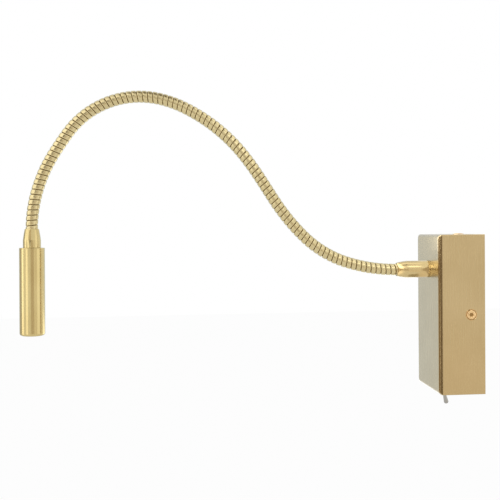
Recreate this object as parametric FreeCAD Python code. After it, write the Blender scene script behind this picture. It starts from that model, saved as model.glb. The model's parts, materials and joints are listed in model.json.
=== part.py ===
"""Bedside wall reading lamp: a brass driver box on the wall, a gooseneck arm and a slim LED head.

Millimetres. The origin is the middle of the box on the wall plane. X runs along the wall, the lamp
stands out towards -Y, and Z is up. Angles are degrees. Threads are plain cylinders at their size.
"""

import FreeCAD, Part
import math
import os

V = FreeCAD.Vector
NEARLY = 0.01  # how far off a box side may measure

# --- wall box ---------------------------------------------------------------------------------
BOX_WIDTH = 60.0
BOX_HEIGHT = 128.0
BOX_DEPTH = 37.5  # wall to front face
COVER_WALL = 1.5
FRONT_ROUND = 3.0  # radius on the four edges of the front face
EDGE_EASE = 0.4  # radius on the four edges that run from the wall to the front

PLATE_THICKNESS = 2.0
PLATE_MARGIN = 1.5  # plate edge to the inside of the cover
TAB_WIDTH = 16.0
TAB_REACH = 16.5  # wall to the free end of a tab
TAB_GAP = 0.2  # tab to the inside of the cover
WALL_SLOT_SPACING = 96.0
WALL_SLOT_WIDTH = 5.0
WALL_SLOT_LENGTH = 10.0

COVER_SCREW_FROM_WALL = 11.4
COVER_SCREW_DOME_SHARES = (0.6, 0.9)  # where the dome's arc passes, of the head's radius and height
COVER_SCREW_RADIUS = 2.5
COVER_SCREW_LENGTH = 6.0  # under the head
COVER_SCREW_HEAD_RADIUS = 4.5
COVER_SCREW_HEAD_HEIGHT = 0.8
COVER_SCREW_HEX = 3.0  # across the flats of the socket
COVER_SCREW_HEX_DEPTH = 2.0

THREAD_GAP = 0.05  # between a screw and the thread that it turns in
HOLE_GAP = 0.15  # between a screw and a plain hole

CABLE_BORE_RADIUS = 4.0
CABLE_BUSH_WALL = 1.5
CABLE_BUSH_FLANGE = 2.0  # how far the flange stands out past the sleeve
CABLE_BUSH_FLANGE_THICKNESS = 1.5
CABLE_ENTRY_HEIGHT = -33.0

# --- what the box holds -------------------------------------------------------------------------
DRIVER_WIDTH = 32.0
DRIVER_HEIGHT = 38.0
DRIVER_DEPTH = 19.0
DRIVER_CENTRE_HEIGHT = -4.0
DRIVER_EDGE_ROUND = 1.5
DRIVER_EAR_LENGTH = 7.0
DRIVER_EAR_WIDTH = 9.0
DRIVER_EAR_THICKNESS = 2.0

SMALL_SCREW_RADIUS = 1.5
SMALL_SCREW_HEAD_RADIUS = 2.8
SMALL_SCREW_HEAD_HEIGHT = 1.8
SMALL_SCREW_SLOT = 0.8  # width and depth of a driver slot

TERMINAL_POLES = 3
TERMINAL_PITCH = 9.0
TERMINAL_HEIGHT = 16.0
TERMINAL_DEPTH = 13.0
TERMINAL_CENTRE_HEIGHT = 32.0
TERMINAL_CLAMP_RADIUS = 2.6
TERMINAL_CLAMP_BORE = 1.6
TERMINAL_SCREW_RADIUS = 1.3
TERMINAL_SCREW_INSET = 3.6  # screw axis to the end of the block
TERMINAL_SCREW_SINK = 1.0  # screw top below the face of the block
WIRE_INSERTION = 6.0  # how far a wire reaches into its clamp

EARTH_X = 17.0
EARTH_STUD_RADIUS = 2.0
EARTH_STUD_LENGTH = 8.0
EARTH_NUT_HEX = 7.0
EARTH_NUT_THICKNESS = 2.4
EARTH_WASHER_RADIUS = 4.2
EARTH_WASHER_THICKNESS = 0.8

WIRE_RADIUS = 0.9
WIRE_BEND_SHARE = 0.45  # how much of its shorter run each bend of a wire takes
LIVE_BEND_BELOW_CLAMP = V(0, 0, -3)  # bends of the live wire, from the clamp's lower end
LIVE_BEND_TO_SIDE = V(0, -2, -7)
LIVE_BEND_BESIDE_DRIVER = V(-1, -4, -16)  # from the driver's top
LIVE_BEND_BELOW_DRIVER = V(-1, -9, 0)
LIVE_BEND_OVER_SWITCH = V(0, 4, 17)  # from the switch's front lug
LIVE_BEND_ABOVE_LUG = V(0, 0, 11)
SWITCHED_RISE = 10.0  # how far the switched wire runs straight up from its lug
SWITCHED_DROP = 9.0  # and straight down from the driver
BOX_LEAD_GAP = 3.5  # terminal block's face to the middle of the lead

SWITCH_FROM_WALL = 24.4
SWITCH_BODY_LENGTH = 12.6  # along the lever's throw
SWITCH_BODY_WIDTH = 7.6
SWITCH_BODY_HEIGHT = 9.0
SWITCH_BUSHING_RADIUS = 3.0
SWITCH_BUSHING_BORE = 2.2
SWITCH_BUSHING_PROUD = 4.8  # below the box
SWITCH_NUT_HEX = 8.0
SWITCH_NUT_THICKNESS = 2.0
SWITCH_WASHER_RADIUS = 4.6
SWITCH_WASHER_THICKNESS = 0.5
SWITCH_TERMINAL_LENGTH = 4.0
SWITCH_TERMINAL_PITCH = 4.7
SWITCH_TERMINAL_WIDTH = 2.0
SWITCH_TERMINAL_THICKNESS = 0.8

LEVER_TILT = 12.5  # each side of upright
LEVER_PIVOT_INSET = 2.0  # pivot to the bushing's end
LEVER_BALL_RADIUS = 2.0
LEVER_CONE_SHARE = 0.6  # where the handle starts, of the ball's radius
LEVER_ROOT_RADIUS = 1.25
LEVER_TIP_RADIUS = 2.0
LEVER_LENGTH = 10.8  # pivot to tip
LEVER_TAIL_RADIUS = 0.7
LEVER_TAIL_ENTRY = 1.0  # how far the tail reaches into the switch body
LEVER_ROOM_DEPTH = 3.0

# --- arm ------------------------------------------------------------------------------------------
ARM_BELOW_TOP = 28.5  # arm axis below the top of the box
ARM_RADIUS = 4.8
BAND_PITCH = 4.15  # from one turn of the winding to the next
BANDS_PER_LINK = 5
GROOVE_WIDTH = 0.4
BAND_CROWN = 0.4  # how much a turn of the winding is domed
CORE_DEPTH = 0.9  # arm surface to the inner tube
ARM_BORE_RADIUS = 1.7
LEAD_RADIUS = 1.25
LEAD_MARGIN = 0.5  # lens throat to the lead's hole
LEAD_STRAIGHT = 3.0  # how far the lead runs straight past the arm's thread
BALL_GAP = 0.25
# The arm at rest, from the box outwards: how many links, and how far each of them turns up.
ARM_ARCS = (
    (2, 8.9),
    (2, 13.2),
    (1, 7.3),
    (1, 6.3),
    (1, -0.3),
    (1, -5.4),
    (3, -8.6),
    (1, -13.2),
    (4, -16.7),
    (1, -4.0),
    (2, -10.2),
    (1, -11.1),
)

SPIGOT_LENGTH = 12.0
SPIGOT_GAP = 0.1
FITTING_WALL = 0.8
NIPPLE_RADIUS = 5.0
NIPPLE_BORE_RADIUS = 2.2
NIPPLE_NUT_HEX = 14.0
NIPPLE_NUT_THICKNESS = 3.0
NIPPLE_WASHER_RADIUS = 8.0
NIPPLE_WASHER_THICKNESS = 0.8
NIPPLE_END = 1.5  # thread that shows past its nut

FERRULE_RADIUS = 7.0
FERRULE_TAPER = 9.0
FERRULE_TIP_WALL = 0.6
FERRULE_SWELL_SHARE = 0.72  # how far the taper's middle stays out, from the tip to the full radius
FERRULE_NECK = 2.5  # length of the narrow mouth around the arm
FERRULE_ARM_GAP = 0.2
ROOT_FERRULE_LENGTH = 26.5
HEAD_FERRULE_LENGTH = 15.0

# --- head -----------------------------------------------------------------------------------------
HEAD_RADIUS = 10.0
HEAD_LENGTH = 70.0
HEAD_WALL = 1.2
HEAD_MOUTH_ROUND = 2.0
HEAD_LIP = 1.2  # how far the lip reaches in past the wall
HEAD_LIP_THICKNESS = 2.4
HEAD_TOP_EASE = 0.5
HEAD_PLUG_THICKNESS = 5.0
SLIDE_GAP = 0.1  # between what sits in the barrel and its wall

SEAL_SECTION = 1.0
SEAL_GAP = 0.02
LENS_RIM_THICKNESS = 1.5
LENS_DEPTH = 7.5
LENS_THROAT_RADIUS = 3.6
LENS_CUP_WALL = 0.8
LENS_FOOT_GAP = 0.2
LENS_RIM_REACH = 1.0
LENS_BULGE = 0.8
BOARD_THICKNESS = 1.6
EMITTER_BASE = 3.4
EMITTER_BASE_THICKNESS = 0.7
EMITTER_DOME_RADIUS = 1.3
SINK_LENGTH = 22.0
SINK_SCREW_MARGIN = 1.0  # solid metal past the end of a board screw
SINK_FINS = 5
SINK_FIN_GAP = 2.0
SINK_STEM_RADIUS = 5.0
BOARD_SCREW_CIRCLE = 6.6
BOARD_SCREW_RADIUS = 0.9
BOARD_SCREW_LENGTH = 5.0
BOARD_SCREW_HEAD_RADIUS = 1.6
BOARD_SCREW_HEAD_HEIGHT = 0.9

OUTWARD = V(0, -1, 0)
INWARD = V(0, 1, 0)
UP = V(0, 0, 1)
DOWN = V(0, 0, -1)
RIGHT = V(1, 0, 0)
LEFT = V(-1, 0, 0)

# --- sizes that follow ----------------------------------------------------------------------------
HALF_WIDTH = BOX_WIDTH / 2
HALF_HEIGHT = BOX_HEIGHT / 2
FRONT = -BOX_DEPTH
INNER_HALF_WIDTH = HALF_WIDTH - COVER_WALL
INNER_HALF_HEIGHT = HALF_HEIGHT - COVER_WALL
INNER_FRONT = FRONT + COVER_WALL
PLATE_FRONT = -PLATE_THICKNESS
ARM_HEIGHT = HALF_HEIGHT - ARM_BELOW_TOP
SWITCH_Y = -SWITCH_FROM_WALL
LINK_LENGTH = BAND_PITCH * BANDS_PER_LINK
CORE_RADIUS = ARM_RADIUS - CORE_DEPTH
BAND_EDGE_RADIUS = ARM_RADIUS - BAND_CROWN
BAND_HALF = (BAND_PITCH - GROOVE_WIDTH) / 2
SOCKET_RADIUS = ARM_RADIUS + BALL_GAP
SPIGOT_RADIUS = BAND_EDGE_RADIUS
FITTING_BORE_RADIUS = SPIGOT_RADIUS + SPIGOT_GAP
FITTING_RADIUS = FITTING_BORE_RADIUS + FITTING_WALL
FERRULE_BORE_RADIUS = FITTING_RADIUS + SLIDE_GAP
FERRULE_MOUTH_RADIUS = ARM_RADIUS + FERRULE_ARM_GAP
FERRULE_TIP_RADIUS = FERRULE_MOUTH_RADIUS + FERRULE_TIP_WALL
CABLE_HOLE_RADIUS = CABLE_BORE_RADIUS + CABLE_BUSH_WALL
HEAD_BORE_RADIUS = HEAD_RADIUS - HEAD_WALL
HEAD_INSERT_RADIUS = HEAD_BORE_RADIUS - SLIDE_GAP


# --- shapes ---------------------------------------------------------------------------------------
def block(x_range, y_range, z_range):
    """A box between two x, two y and two z values."""
    x0, x1 = sorted(x_range)
    y0, y1 = sorted(y_range)
    z0, z1 = sorted(z_range)
    return Part.makeBox(x1 - x0, y1 - y0, z1 - z0, V(x0, y0, z0))


def rod(radius, start, direction, length):
    """A round bar from a point along a direction."""
    return Part.makeCylinder(radius, length, start, direction)


def ring(outer, inner, start, direction, length):
    """A round bar with a round hole through it."""
    return rod(outer, start, direction, length).cut(rod(inner, start, direction, length))


def placed(shape, origin, direction):
    """The shape moved from its own origin and Z axis to an origin and a direction."""
    moved = shape.copy()
    moved.Placement = FreeCAD.Placement(origin, FreeCAD.Rotation(UP, direction))
    return moved


def turned(edges):
    """The solid of revolution about Z of a closed outline of edges in the XZ plane."""
    face = Part.Face(Part.Wire(edges))
    return face.revolve(V(0, 0, 0), UP, 360)


def outline(*points):
    """The straight edges through (radius, height) points, in order."""
    corners = [V(radius, 0, height) for radius, height in points]
    return [Part.LineSegment(a, b).toShape() for a, b in zip(corners, corners[1:])]


def bulge(start, middle, end):
    """One arc through three (radius, height) points."""
    a, b, c = (V(radius, 0, height) for radius, height in (start, middle, end))
    return Part.Arc(a, b, c).toShape()


def hex_bar(across_flats, start, direction, length):
    """A six-sided bar from a point along a direction."""
    corner = across_flats / math.sqrt(3)
    turns = [math.radians(60 * i) for i in range(7)]
    wire = Part.makePolygon([V(corner * math.cos(a), corner * math.sin(a), 0) for a in turns])
    return placed(Part.Face(wire).extrude(V(0, 0, length)), start, direction)


def union(shapes):
    """All the shapes as one, with the seams between them taken out."""
    first, *others = shapes
    return first.fuse(others).removeSplitter()


def save(name, solids):
    """Writes one sub-part, a solid or a list of separate solids, to its own file."""
    parts = solids if isinstance(solids, list) else [solids]
    single = [solid for part in parts for solid in part.Solids]
    shape = single[0] if len(single) == 1 else Part.makeCompound(single)
    shape.exportStep(f"parts/{name}.step")
    volume = sum(solid.Volume for solid in single)
    print(f"{name}: {len(single)} solid(s), {volume:.1f} mm3, valid {shape.isValid()}")


def wire_along(points, radius):
    """A round wire through points: straight runs joined by arcs tangent to both runs."""
    edges = []
    start = points[0]
    for before, corner, after in zip(points, points[1:], points[2:]):
        back = before - corner
        ahead = after - corner
        half_turn = (math.pi - back.getAngle(ahead)) / 2
        bend = WIRE_BEND_SHARE * min(back.Length, ahead.Length) / math.tan(half_turn)
        reach = bend * math.tan(half_turn)
        back.normalize()
        ahead.normalize()
        middle_way = (back + ahead).normalize()
        middle = corner + middle_way * (bend / math.cos(half_turn) - bend)
        edges.append(Part.LineSegment(start, corner + back * reach).toShape())
        edges.append(Part.Arc(corner + back * reach, middle, corner + ahead * reach).toShape())
        start = corner + ahead * reach
    edges.append(Part.LineSegment(start, points[-1]).toShape())
    path = Part.Wire(edges)
    first_run = points[1] - points[0]
    section = Part.Face(Part.Wire(Part.makeCircle(radius, points[0], first_run)))
    return path.makePipe(section)


# --- wall box -------------------------------------------------------------------------------------
def cover_screw_places():
    """Where the four cover screws enter the cover, and which way they point."""
    y = -COVER_SCREW_FROM_WALL
    return [
        (V(HALF_WIDTH, y, 0), LEFT),
        (V(-HALF_WIDTH, y, 0), RIGHT),
        (V(0, y, HALF_HEIGHT), DOWN),
        (V(0, y, -HALF_HEIGHT), UP),
    ]


def cover():
    """The brass box, open at the wall, with holes for its screws, the arm and the switch."""
    outer = block((-HALF_WIDTH, HALF_WIDTH), (0, FRONT), (-HALF_HEIGHT, HALF_HEIGHT))
    outer = outer.makeFillet(EDGE_EASE, [e for e in outer.Edges if runs_to_wall(e)])
    outer = outer.makeFillet(FRONT_ROUND, [e for e in outer.Edges if e.BoundBox.YMax < FRONT + NEARLY])
    inner = block(
        (-INNER_HALF_WIDTH, INNER_HALF_WIDTH), (0, INNER_FRONT), (-INNER_HALF_HEIGHT, INNER_HALF_HEIGHT)
    )
    inner_round = max(FRONT_ROUND - COVER_WALL, EDGE_EASE)
    inner = inner.makeFillet(inner_round, [e for e in inner.Edges if e.BoundBox.YMax < INNER_FRONT + NEARLY])
    shell = outer.cut(inner)
    holes = [rod(NIPPLE_RADIUS + HOLE_GAP, V(0, FRONT, ARM_HEIGHT), INWARD, COVER_WALL)]
    holes.append(rod(SWITCH_BUSHING_RADIUS + HOLE_GAP, V(0, SWITCH_Y, -HALF_HEIGHT), UP, COVER_WALL))
    for place, way in cover_screw_places():
        holes.append(rod(COVER_SCREW_RADIUS + HOLE_GAP, place, way, COVER_WALL))
    return shell.cut(holes)


def runs_to_wall(edge):
    """Whether an edge of the box is one of the four between the wall and the front."""
    return edge.BoundBox.YLength > BOX_DEPTH - NEARLY


def cover_screw(place, way):
    """A low domed screw with a hexagon socket."""
    radius = COVER_SCREW_HEAD_RADIUS
    height = COVER_SCREW_HEAD_HEIGHT
    rim = height / 3
    dome_middle = (radius * COVER_SCREW_DOME_SHARES[0], height * COVER_SCREW_DOME_SHARES[1])
    edges = outline((0, height), (0, 0), (radius, 0), (radius, rim))
    edges.append(bulge((radius, rim), dome_middle, (0, height)))
    head = placed(turned(edges), place, way * -1)
    shank = rod(COVER_SCREW_RADIUS, place, way, COVER_SCREW_LENGTH)
    top = place - way * height
    socket = hex_bar(COVER_SCREW_HEX, top, way, COVER_SCREW_HEX_DEPTH)
    return union([head, shank]).cut(socket)


def slot(centre, width, length, depth):
    """A slot along Z, cut from the front towards the wall."""
    half_run = (length - width) / 2
    middle = block(
        (centre.x - width / 2, centre.x + width / 2),
        (centre.y, centre.y + depth),
        (centre.z - half_run, centre.z + half_run),
    )
    ends = [rod(width / 2, centre + UP * side * half_run, INWARD, depth) for side in (-1, 1)]
    return union([middle, *ends])


def wall_plate():
    """The steel plate on the wall, with four bent tabs that take the cover screws."""
    half_x = INNER_HALF_WIDTH - PLATE_MARGIN
    half_z = INNER_HALF_HEIGHT - PLATE_MARGIN
    side = INNER_HALF_WIDTH - TAB_GAP
    end = INNER_HALF_HEIGHT - TAB_GAP
    half_tab = TAB_WIDTH / 2
    solids = [block((-half_x, half_x), (0, PLATE_FRONT), (-half_z, half_z))]
    for sign in (-1, 1):
        across = (-half_tab, half_tab)
        solids.append(block((0, sign * side), (0, PLATE_FRONT), across))
        solids.append(block((sign * side, sign * (side - PLATE_THICKNESS)), (0, -TAB_REACH), across))
        solids.append(block(across, (0, PLATE_FRONT), (0, sign * end)))
        solids.append(block(across, (0, -TAB_REACH), (sign * end, sign * (end - PLATE_THICKNESS))))
    plate = union(solids)
    holes = [rod(CABLE_HOLE_RADIUS, V(0, PLATE_FRONT, CABLE_ENTRY_HEIGHT), INWARD, PLATE_THICKNESS)]
    for sign in (-1, 1):
        centre = V(0, PLATE_FRONT, sign * WALL_SLOT_SPACING / 2)
        holes.append(slot(centre, WALL_SLOT_WIDTH, WALL_SLOT_LENGTH, PLATE_THICKNESS))
    for place, way in cover_screw_places():
        holes.append(rod(COVER_SCREW_RADIUS + THREAD_GAP, place, way, COVER_SCREW_LENGTH))
    tapped = SMALL_SCREW_RADIUS + THREAD_GAP
    for x, z in driver_screw_places() + [(0, TERMINAL_CENTRE_HEIGHT)]:
        holes.append(rod(tapped, V(x, PLATE_FRONT, z), INWARD, PLATE_THICKNESS))
    earth = V(EARTH_X, PLATE_FRONT, CABLE_ENTRY_HEIGHT)
    holes.append(rod(EARTH_STUD_RADIUS, earth, INWARD, PLATE_THICKNESS))
    return plate.cut(holes)


def cable_bush():
    """The rubber bush that lines the cable hole in the plate."""
    start = V(0, 0, CABLE_ENTRY_HEIGHT)
    flange_start = start + OUTWARD * PLATE_THICKNESS
    sleeve = rod(CABLE_HOLE_RADIUS, start, OUTWARD, PLATE_THICKNESS)
    flange = rod(
        CABLE_HOLE_RADIUS + CABLE_BUSH_FLANGE, flange_start, OUTWARD, CABLE_BUSH_FLANGE_THICKNESS
    )
    bore = rod(CABLE_BORE_RADIUS, start, OUTWARD, PLATE_THICKNESS + CABLE_BUSH_FLANGE_THICKNESS)
    return union([sleeve, flange]).cut(bore)


def slotted_screw(place, way, length, radius, head_radius, head_height):
    """A cheese-head screw with a driver slot; place is under the head."""
    head = rod(head_radius, place, way * -1, head_height)
    shank = rod(radius, place, way, length)
    across = placed(
        Part.makeBox(
            4 * head_radius,
            SMALL_SCREW_SLOT,
            SMALL_SCREW_SLOT,
            V(-2 * head_radius, -SMALL_SCREW_SLOT / 2, 0),
        ),
        place - way * head_height,
        way,
    )
    return union([head, shank]).cut(across)


# --- what the box holds ---------------------------------------------------------------------------
def driver_screw_places():
    """The x and z of the two screws through the driver's ears."""
    x = DRIVER_WIDTH / 2 + DRIVER_EAR_LENGTH / 2
    return [(-x, DRIVER_CENTRE_HEIGHT), (x, DRIVER_CENTRE_HEIGHT)]


def led_driver():
    """The potted driver case with an ear on each side."""
    half_x = DRIVER_WIDTH / 2
    half_z = DRIVER_HEIGHT / 2
    depth = (PLATE_FRONT, PLATE_FRONT - DRIVER_DEPTH)
    height = (DRIVER_CENTRE_HEIGHT - half_z, DRIVER_CENTRE_HEIGHT + half_z)
    case = block((-half_x, half_x), depth, height)
    case = case.makeFillet(DRIVER_EDGE_ROUND, [e for e in case.Edges if e.BoundBox.YLength > 1])
    reach = half_x + DRIVER_EAR_LENGTH
    half_ear = DRIVER_EAR_WIDTH / 2
    ears = block(
        (-reach, reach),
        (PLATE_FRONT, PLATE_FRONT - DRIVER_EAR_THICKNESS),
        (DRIVER_CENTRE_HEIGHT - half_ear, DRIVER_CENTRE_HEIGHT + half_ear),
    )
    holes = [
        rod(SMALL_SCREW_RADIUS + HOLE_GAP, V(x, PLATE_FRONT, z), OUTWARD, DRIVER_EAR_THICKNESS)
        for x, z in driver_screw_places()
    ]
    return union([case, ears]).cut(holes)


def driver_screws():
    """The two screws that hold the driver to the plate."""
    top = PLATE_FRONT - DRIVER_EAR_THICKNESS
    length = DRIVER_EAR_THICKNESS + PLATE_THICKNESS
    return [
        slotted_screw(
            V(x, top, z), INWARD, length, SMALL_SCREW_RADIUS, SMALL_SCREW_HEAD_RADIUS, SMALL_SCREW_HEAD_HEIGHT
        )
        for x, z in driver_screw_places()
    ]


def pole_places():
    """The x of each pole of the terminal block."""
    middle = (TERMINAL_POLES - 1) / 2
    return [(i - middle) * TERMINAL_PITCH for i in range(TERMINAL_POLES)]


def terminal_y():
    """The y of the axes of the terminal block's clamps."""
    return PLATE_FRONT - TERMINAL_DEPTH / 2


def terminal_ends():
    """The lower and upper z of the terminal block."""
    half = TERMINAL_HEIGHT / 2
    return TERMINAL_CENTRE_HEIGHT - half, TERMINAL_CENTRE_HEIGHT + half


def clamp_screw_places():
    """Where each clamping screw of the terminal block starts, at the block's face."""
    low, high = terminal_ends()
    face = PLATE_FRONT - TERMINAL_DEPTH
    heights = (low + TERMINAL_SCREW_INSET, high - TERMINAL_SCREW_INSET)
    return [V(x, face, z) for x in pole_places() for z in heights]


def fixing_well_radius():
    """The well in the middle of the block for the head of its fixing screw."""
    return SMALL_SCREW_HEAD_RADIUS + HOLE_GAP


def terminal_block():
    """The insulating block: a tunnel for each clamp, a well for each screw."""
    low, high = terminal_ends()
    half_x = TERMINAL_PITCH * TERMINAL_POLES / 2
    face = PLATE_FRONT - TERMINAL_DEPTH
    body = block((-half_x, half_x), (PLATE_FRONT, face), (low, high))
    tunnels = [
        rod(TERMINAL_CLAMP_RADIUS + HOLE_GAP, V(x, terminal_y(), low), UP, TERMINAL_HEIGHT)
        for x in outer_poles()
    ]
    wells = [
        rod(TERMINAL_SCREW_RADIUS + HOLE_GAP, start, INWARD, TERMINAL_DEPTH / 2)
        for start in clamp_screw_places()
        if start.x in outer_poles()
    ]
    return body.cut(tunnels + wells + [middle_well()])


def outer_poles():
    """The x of the poles that carry a wire; the middle one is left for the fixing screw."""
    return [x for x in pole_places() if abs(x) > TERMINAL_PITCH / 4]


def middle_well():
    """The stepped hole through the middle of the block for its fixing screw."""
    face = V(0, PLATE_FRONT - TERMINAL_DEPTH, TERMINAL_CENTRE_HEIGHT)
    floor = TERMINAL_DEPTH / 2
    wide = rod(fixing_well_radius(), face, INWARD, floor)
    narrow = rod(SMALL_SCREW_RADIUS + HOLE_GAP, face, INWARD, TERMINAL_DEPTH)
    return wide.fuse(narrow)


def terminal_clamps():
    """The brass clamps: a tube along each tunnel, tapped for its two screws."""
    low, _ = terminal_ends()
    clamps = []
    for x in outer_poles():
        tube = ring(TERMINAL_CLAMP_RADIUS, TERMINAL_CLAMP_BORE, V(x, terminal_y(), low), UP, TERMINAL_HEIGHT)
        taps = [
            rod(TERMINAL_SCREW_RADIUS + THREAD_GAP, start, INWARD, TERMINAL_DEPTH / 2)
            for start in clamp_screw_places()
            if start.x == x
        ]
        clamps.append(tube.cut(taps))
    return clamps


def clamp_screws():
    """The grub screws that close on the wires."""
    length = TERMINAL_DEPTH / 2 - WIRE_RADIUS - TERMINAL_SCREW_SINK - HOLE_GAP
    return [
        rod(TERMINAL_SCREW_RADIUS, start + INWARD * TERMINAL_SCREW_SINK, INWARD, length)
        for start in clamp_screw_places()
        if start.x in outer_poles()
    ]


def terminal_block_screw():
    """The screw that holds the terminal block to the plate."""
    floor = TERMINAL_DEPTH / 2
    place = V(0, PLATE_FRONT - TERMINAL_DEPTH + floor, TERMINAL_CENTRE_HEIGHT)
    length = TERMINAL_DEPTH - floor + PLATE_THICKNESS
    return slotted_screw(
        place, INWARD, length, SMALL_SCREW_RADIUS, SMALL_SCREW_HEAD_RADIUS, SMALL_SCREW_HEAD_HEIGHT
    )


def earth_stud():
    """The stud pressed into the plate."""
    return rod(EARTH_STUD_RADIUS, V(EARTH_X, 0, CABLE_ENTRY_HEIGHT), OUTWARD, EARTH_STUD_LENGTH)


def earth_washer():
    """The cup washer that the supply's earth wire is clamped under."""
    start = V(EARTH_X, PLATE_FRONT, CABLE_ENTRY_HEIGHT)
    hole_radius = EARTH_STUD_RADIUS + THREAD_GAP
    return ring(EARTH_WASHER_RADIUS, hole_radius, start, OUTWARD, EARTH_WASHER_THICKNESS)


def earth_nut():
    """The nut on the earth stud."""
    start = V(EARTH_X, PLATE_FRONT - EARTH_WASHER_THICKNESS, CABLE_ENTRY_HEIGHT)
    nut = hex_bar(EARTH_NUT_HEX, start, OUTWARD, EARTH_NUT_THICKNESS)
    return nut.cut(rod(EARTH_STUD_RADIUS + THREAD_GAP, start, OUTWARD, EARTH_NUT_THICKNESS))


# --- switch ---------------------------------------------------------------------------------------
def switch_floor():
    """The z of the inside of the box's bottom, where the switch sits."""
    return -INNER_HALF_HEIGHT


def switch_body():
    """The moulded switch case inside the box."""
    half_x = SWITCH_BODY_WIDTH / 2
    half_y = SWITCH_BODY_LENGTH / 2
    floor = switch_floor()
    case = block(
        (-half_x, half_x), (SWITCH_Y - half_y, SWITCH_Y + half_y), (floor, floor + SWITCH_BODY_HEIGHT)
    )
    lever_room = rod(SWITCH_BUSHING_BORE, V(0, SWITCH_Y, floor), UP, LEVER_ROOM_DEPTH)
    return case.cut(lever_room)


def switch_bushing():
    """The threaded bushing that passes through the bottom of the box."""
    length = COVER_WALL + SWITCH_BUSHING_PROUD
    tube = ring(
        SWITCH_BUSHING_RADIUS, SWITCH_BUSHING_BORE, V(0, SWITCH_Y, switch_floor()), DOWN, length
    )
    return tube


def switch_washer():
    """The flat washer between the box and the switch nut."""
    return ring(
        SWITCH_WASHER_RADIUS,
        SWITCH_BUSHING_RADIUS + HOLE_GAP,
        V(0, SWITCH_Y, -HALF_HEIGHT),
        DOWN,
        SWITCH_WASHER_THICKNESS,
    )


def switch_nut():
    """The nut that clamps the switch to the bottom of the box."""
    start = V(0, SWITCH_Y, -HALF_HEIGHT - SWITCH_WASHER_THICKNESS)
    nut = hex_bar(SWITCH_NUT_HEX, start, DOWN, SWITCH_NUT_THICKNESS)
    return nut.cut(rod(SWITCH_BUSHING_RADIUS + THREAD_GAP, start, DOWN, SWITCH_NUT_THICKNESS))


def switch_terminal_places():
    """The y of the three solder lugs."""
    return [SWITCH_Y + i * SWITCH_TERMINAL_PITCH for i in (-1, 0, 1)]


def switch_terminal_top():
    """The z of the ends of the solder lugs."""
    return switch_floor() + SWITCH_BODY_HEIGHT + SWITCH_TERMINAL_LENGTH


def switch_terminals():
    """The three solder lugs on the back of the switch."""
    half_x = SWITCH_TERMINAL_WIDTH / 2
    half_y = SWITCH_TERMINAL_THICKNESS / 2
    start = switch_floor() + SWITCH_BODY_HEIGHT
    return [
        block((-half_x, half_x), (y - half_y, y + half_y), (start, switch_terminal_top()))
        for y in switch_terminal_places()
    ]


def lever_pivot():
    """The point that the lever tips about."""
    end = -HALF_HEIGHT - SWITCH_BUSHING_PROUD
    return V(0, SWITCH_Y, end + LEVER_PIVOT_INSET)


def switch_lever():
    """The bat lever, tipped to the wall: a tail, a ball in the bushing and a handle that widens."""
    tip_centre = LEVER_LENGTH - LEVER_TIP_RADIUS
    cone_start = LEVER_BALL_RADIUS * LEVER_CONE_SHARE
    ball = Part.makeSphere(LEVER_BALL_RADIUS)
    handle = Part.makeCone(
        LEVER_ROOT_RADIUS, LEVER_TIP_RADIUS, tip_centre - cone_start, V(0, 0, cone_start), UP
    )
    tip = Part.makeSphere(LEVER_TIP_RADIUS, V(0, 0, tip_centre))
    tail_length = switch_floor() - lever_pivot().z + LEVER_TAIL_ENTRY
    tail = rod(LEVER_TAIL_RADIUS, V(0, 0, 0), DOWN, tail_length)
    tilt = math.radians(LEVER_TILT)
    direction = V(0, math.sin(tilt), -math.cos(tilt))
    return placed(union([ball, handle, tip, tail]), lever_pivot(), direction)


# --- arm ------------------------------------------------------------------------------------------
def link_turns():
    """The turn of each link at rest, from the box outwards, in degrees upwards."""
    return [turn for count, turn in ARM_ARCS for _ in range(count)]


def heading_direction(heading):
    """The direction of the arm at a heading: 0 straight out from the wall, 90 straight up."""
    angle = math.radians(heading)
    return V(0, -math.cos(angle), math.sin(angle))


def heading_normal(heading):
    """The direction a quarter turn up from a heading."""
    return heading_direction(heading + 90)


def walked(place, heading, turn, length):
    """The point and heading after an arc of a length that turns by an angle."""
    if abs(turn) < 1e-6:
        return place + heading_direction(heading) * length, heading
    bend = length / math.radians(turn)
    centre = place + heading_normal(heading) * bend
    return centre - heading_normal(heading + turn) * bend, heading + turn


def arm_stations():
    """The point and heading of each joint of the arm, from the root ferrule's tip to the head's."""
    place = V(0, FRONT - ROOT_FERRULE_LENGTH, ARM_HEIGHT)
    stations = [(place, 0.0)]
    for turn in link_turns():
        stations.append(walked(*stations[-1], turn, LINK_LENGTH))
    return stations


def bent_rod(radius, place, heading, turn, length):
    """A round bar along an arc that starts at a point and heading."""
    if abs(turn) < 1e-6:
        return rod(radius, place, heading_direction(heading), length)
    bend = length / math.radians(turn)
    centre = place + heading_normal(heading) * bend
    section = Part.Face(Part.Wire(Part.makeCircle(radius, place, heading_direction(heading))))
    axis = LEFT if turn > 0 else RIGHT
    return section.revolve(centre, axis, abs(turn))


def band():
    """One turn of the winding as a domed ring about Z, centred on the origin."""
    inside = CORE_RADIUS / 2
    edges = outline(
        (BAND_EDGE_RADIUS, BAND_HALF),
        (inside, BAND_HALF),
        (inside, -BAND_HALF),
        (BAND_EDGE_RADIUS, -BAND_HALF),
    )
    edges.append(bulge((BAND_EDGE_RADIUS, -BAND_HALF), (ARM_RADIUS, 0), (BAND_EDGE_RADIUS, BAND_HALF)))
    return turned(edges)


def ball_band():
    """The last turn of a link, a ball about the joint, cut off where the turn before it starts."""
    ball = Part.makeSphere(ARM_RADIUS)
    half_side = 2 * ARM_RADIUS
    keep = block((-half_side, half_side), (-half_side, half_side), (-BAND_HALF, half_side))
    return ball.common(keep)


def lead_end():
    """How far past a joint the lead reaches inside the ball."""
    return math.sqrt(ARM_RADIUS**2 - LEAD_RADIUS**2)


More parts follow.
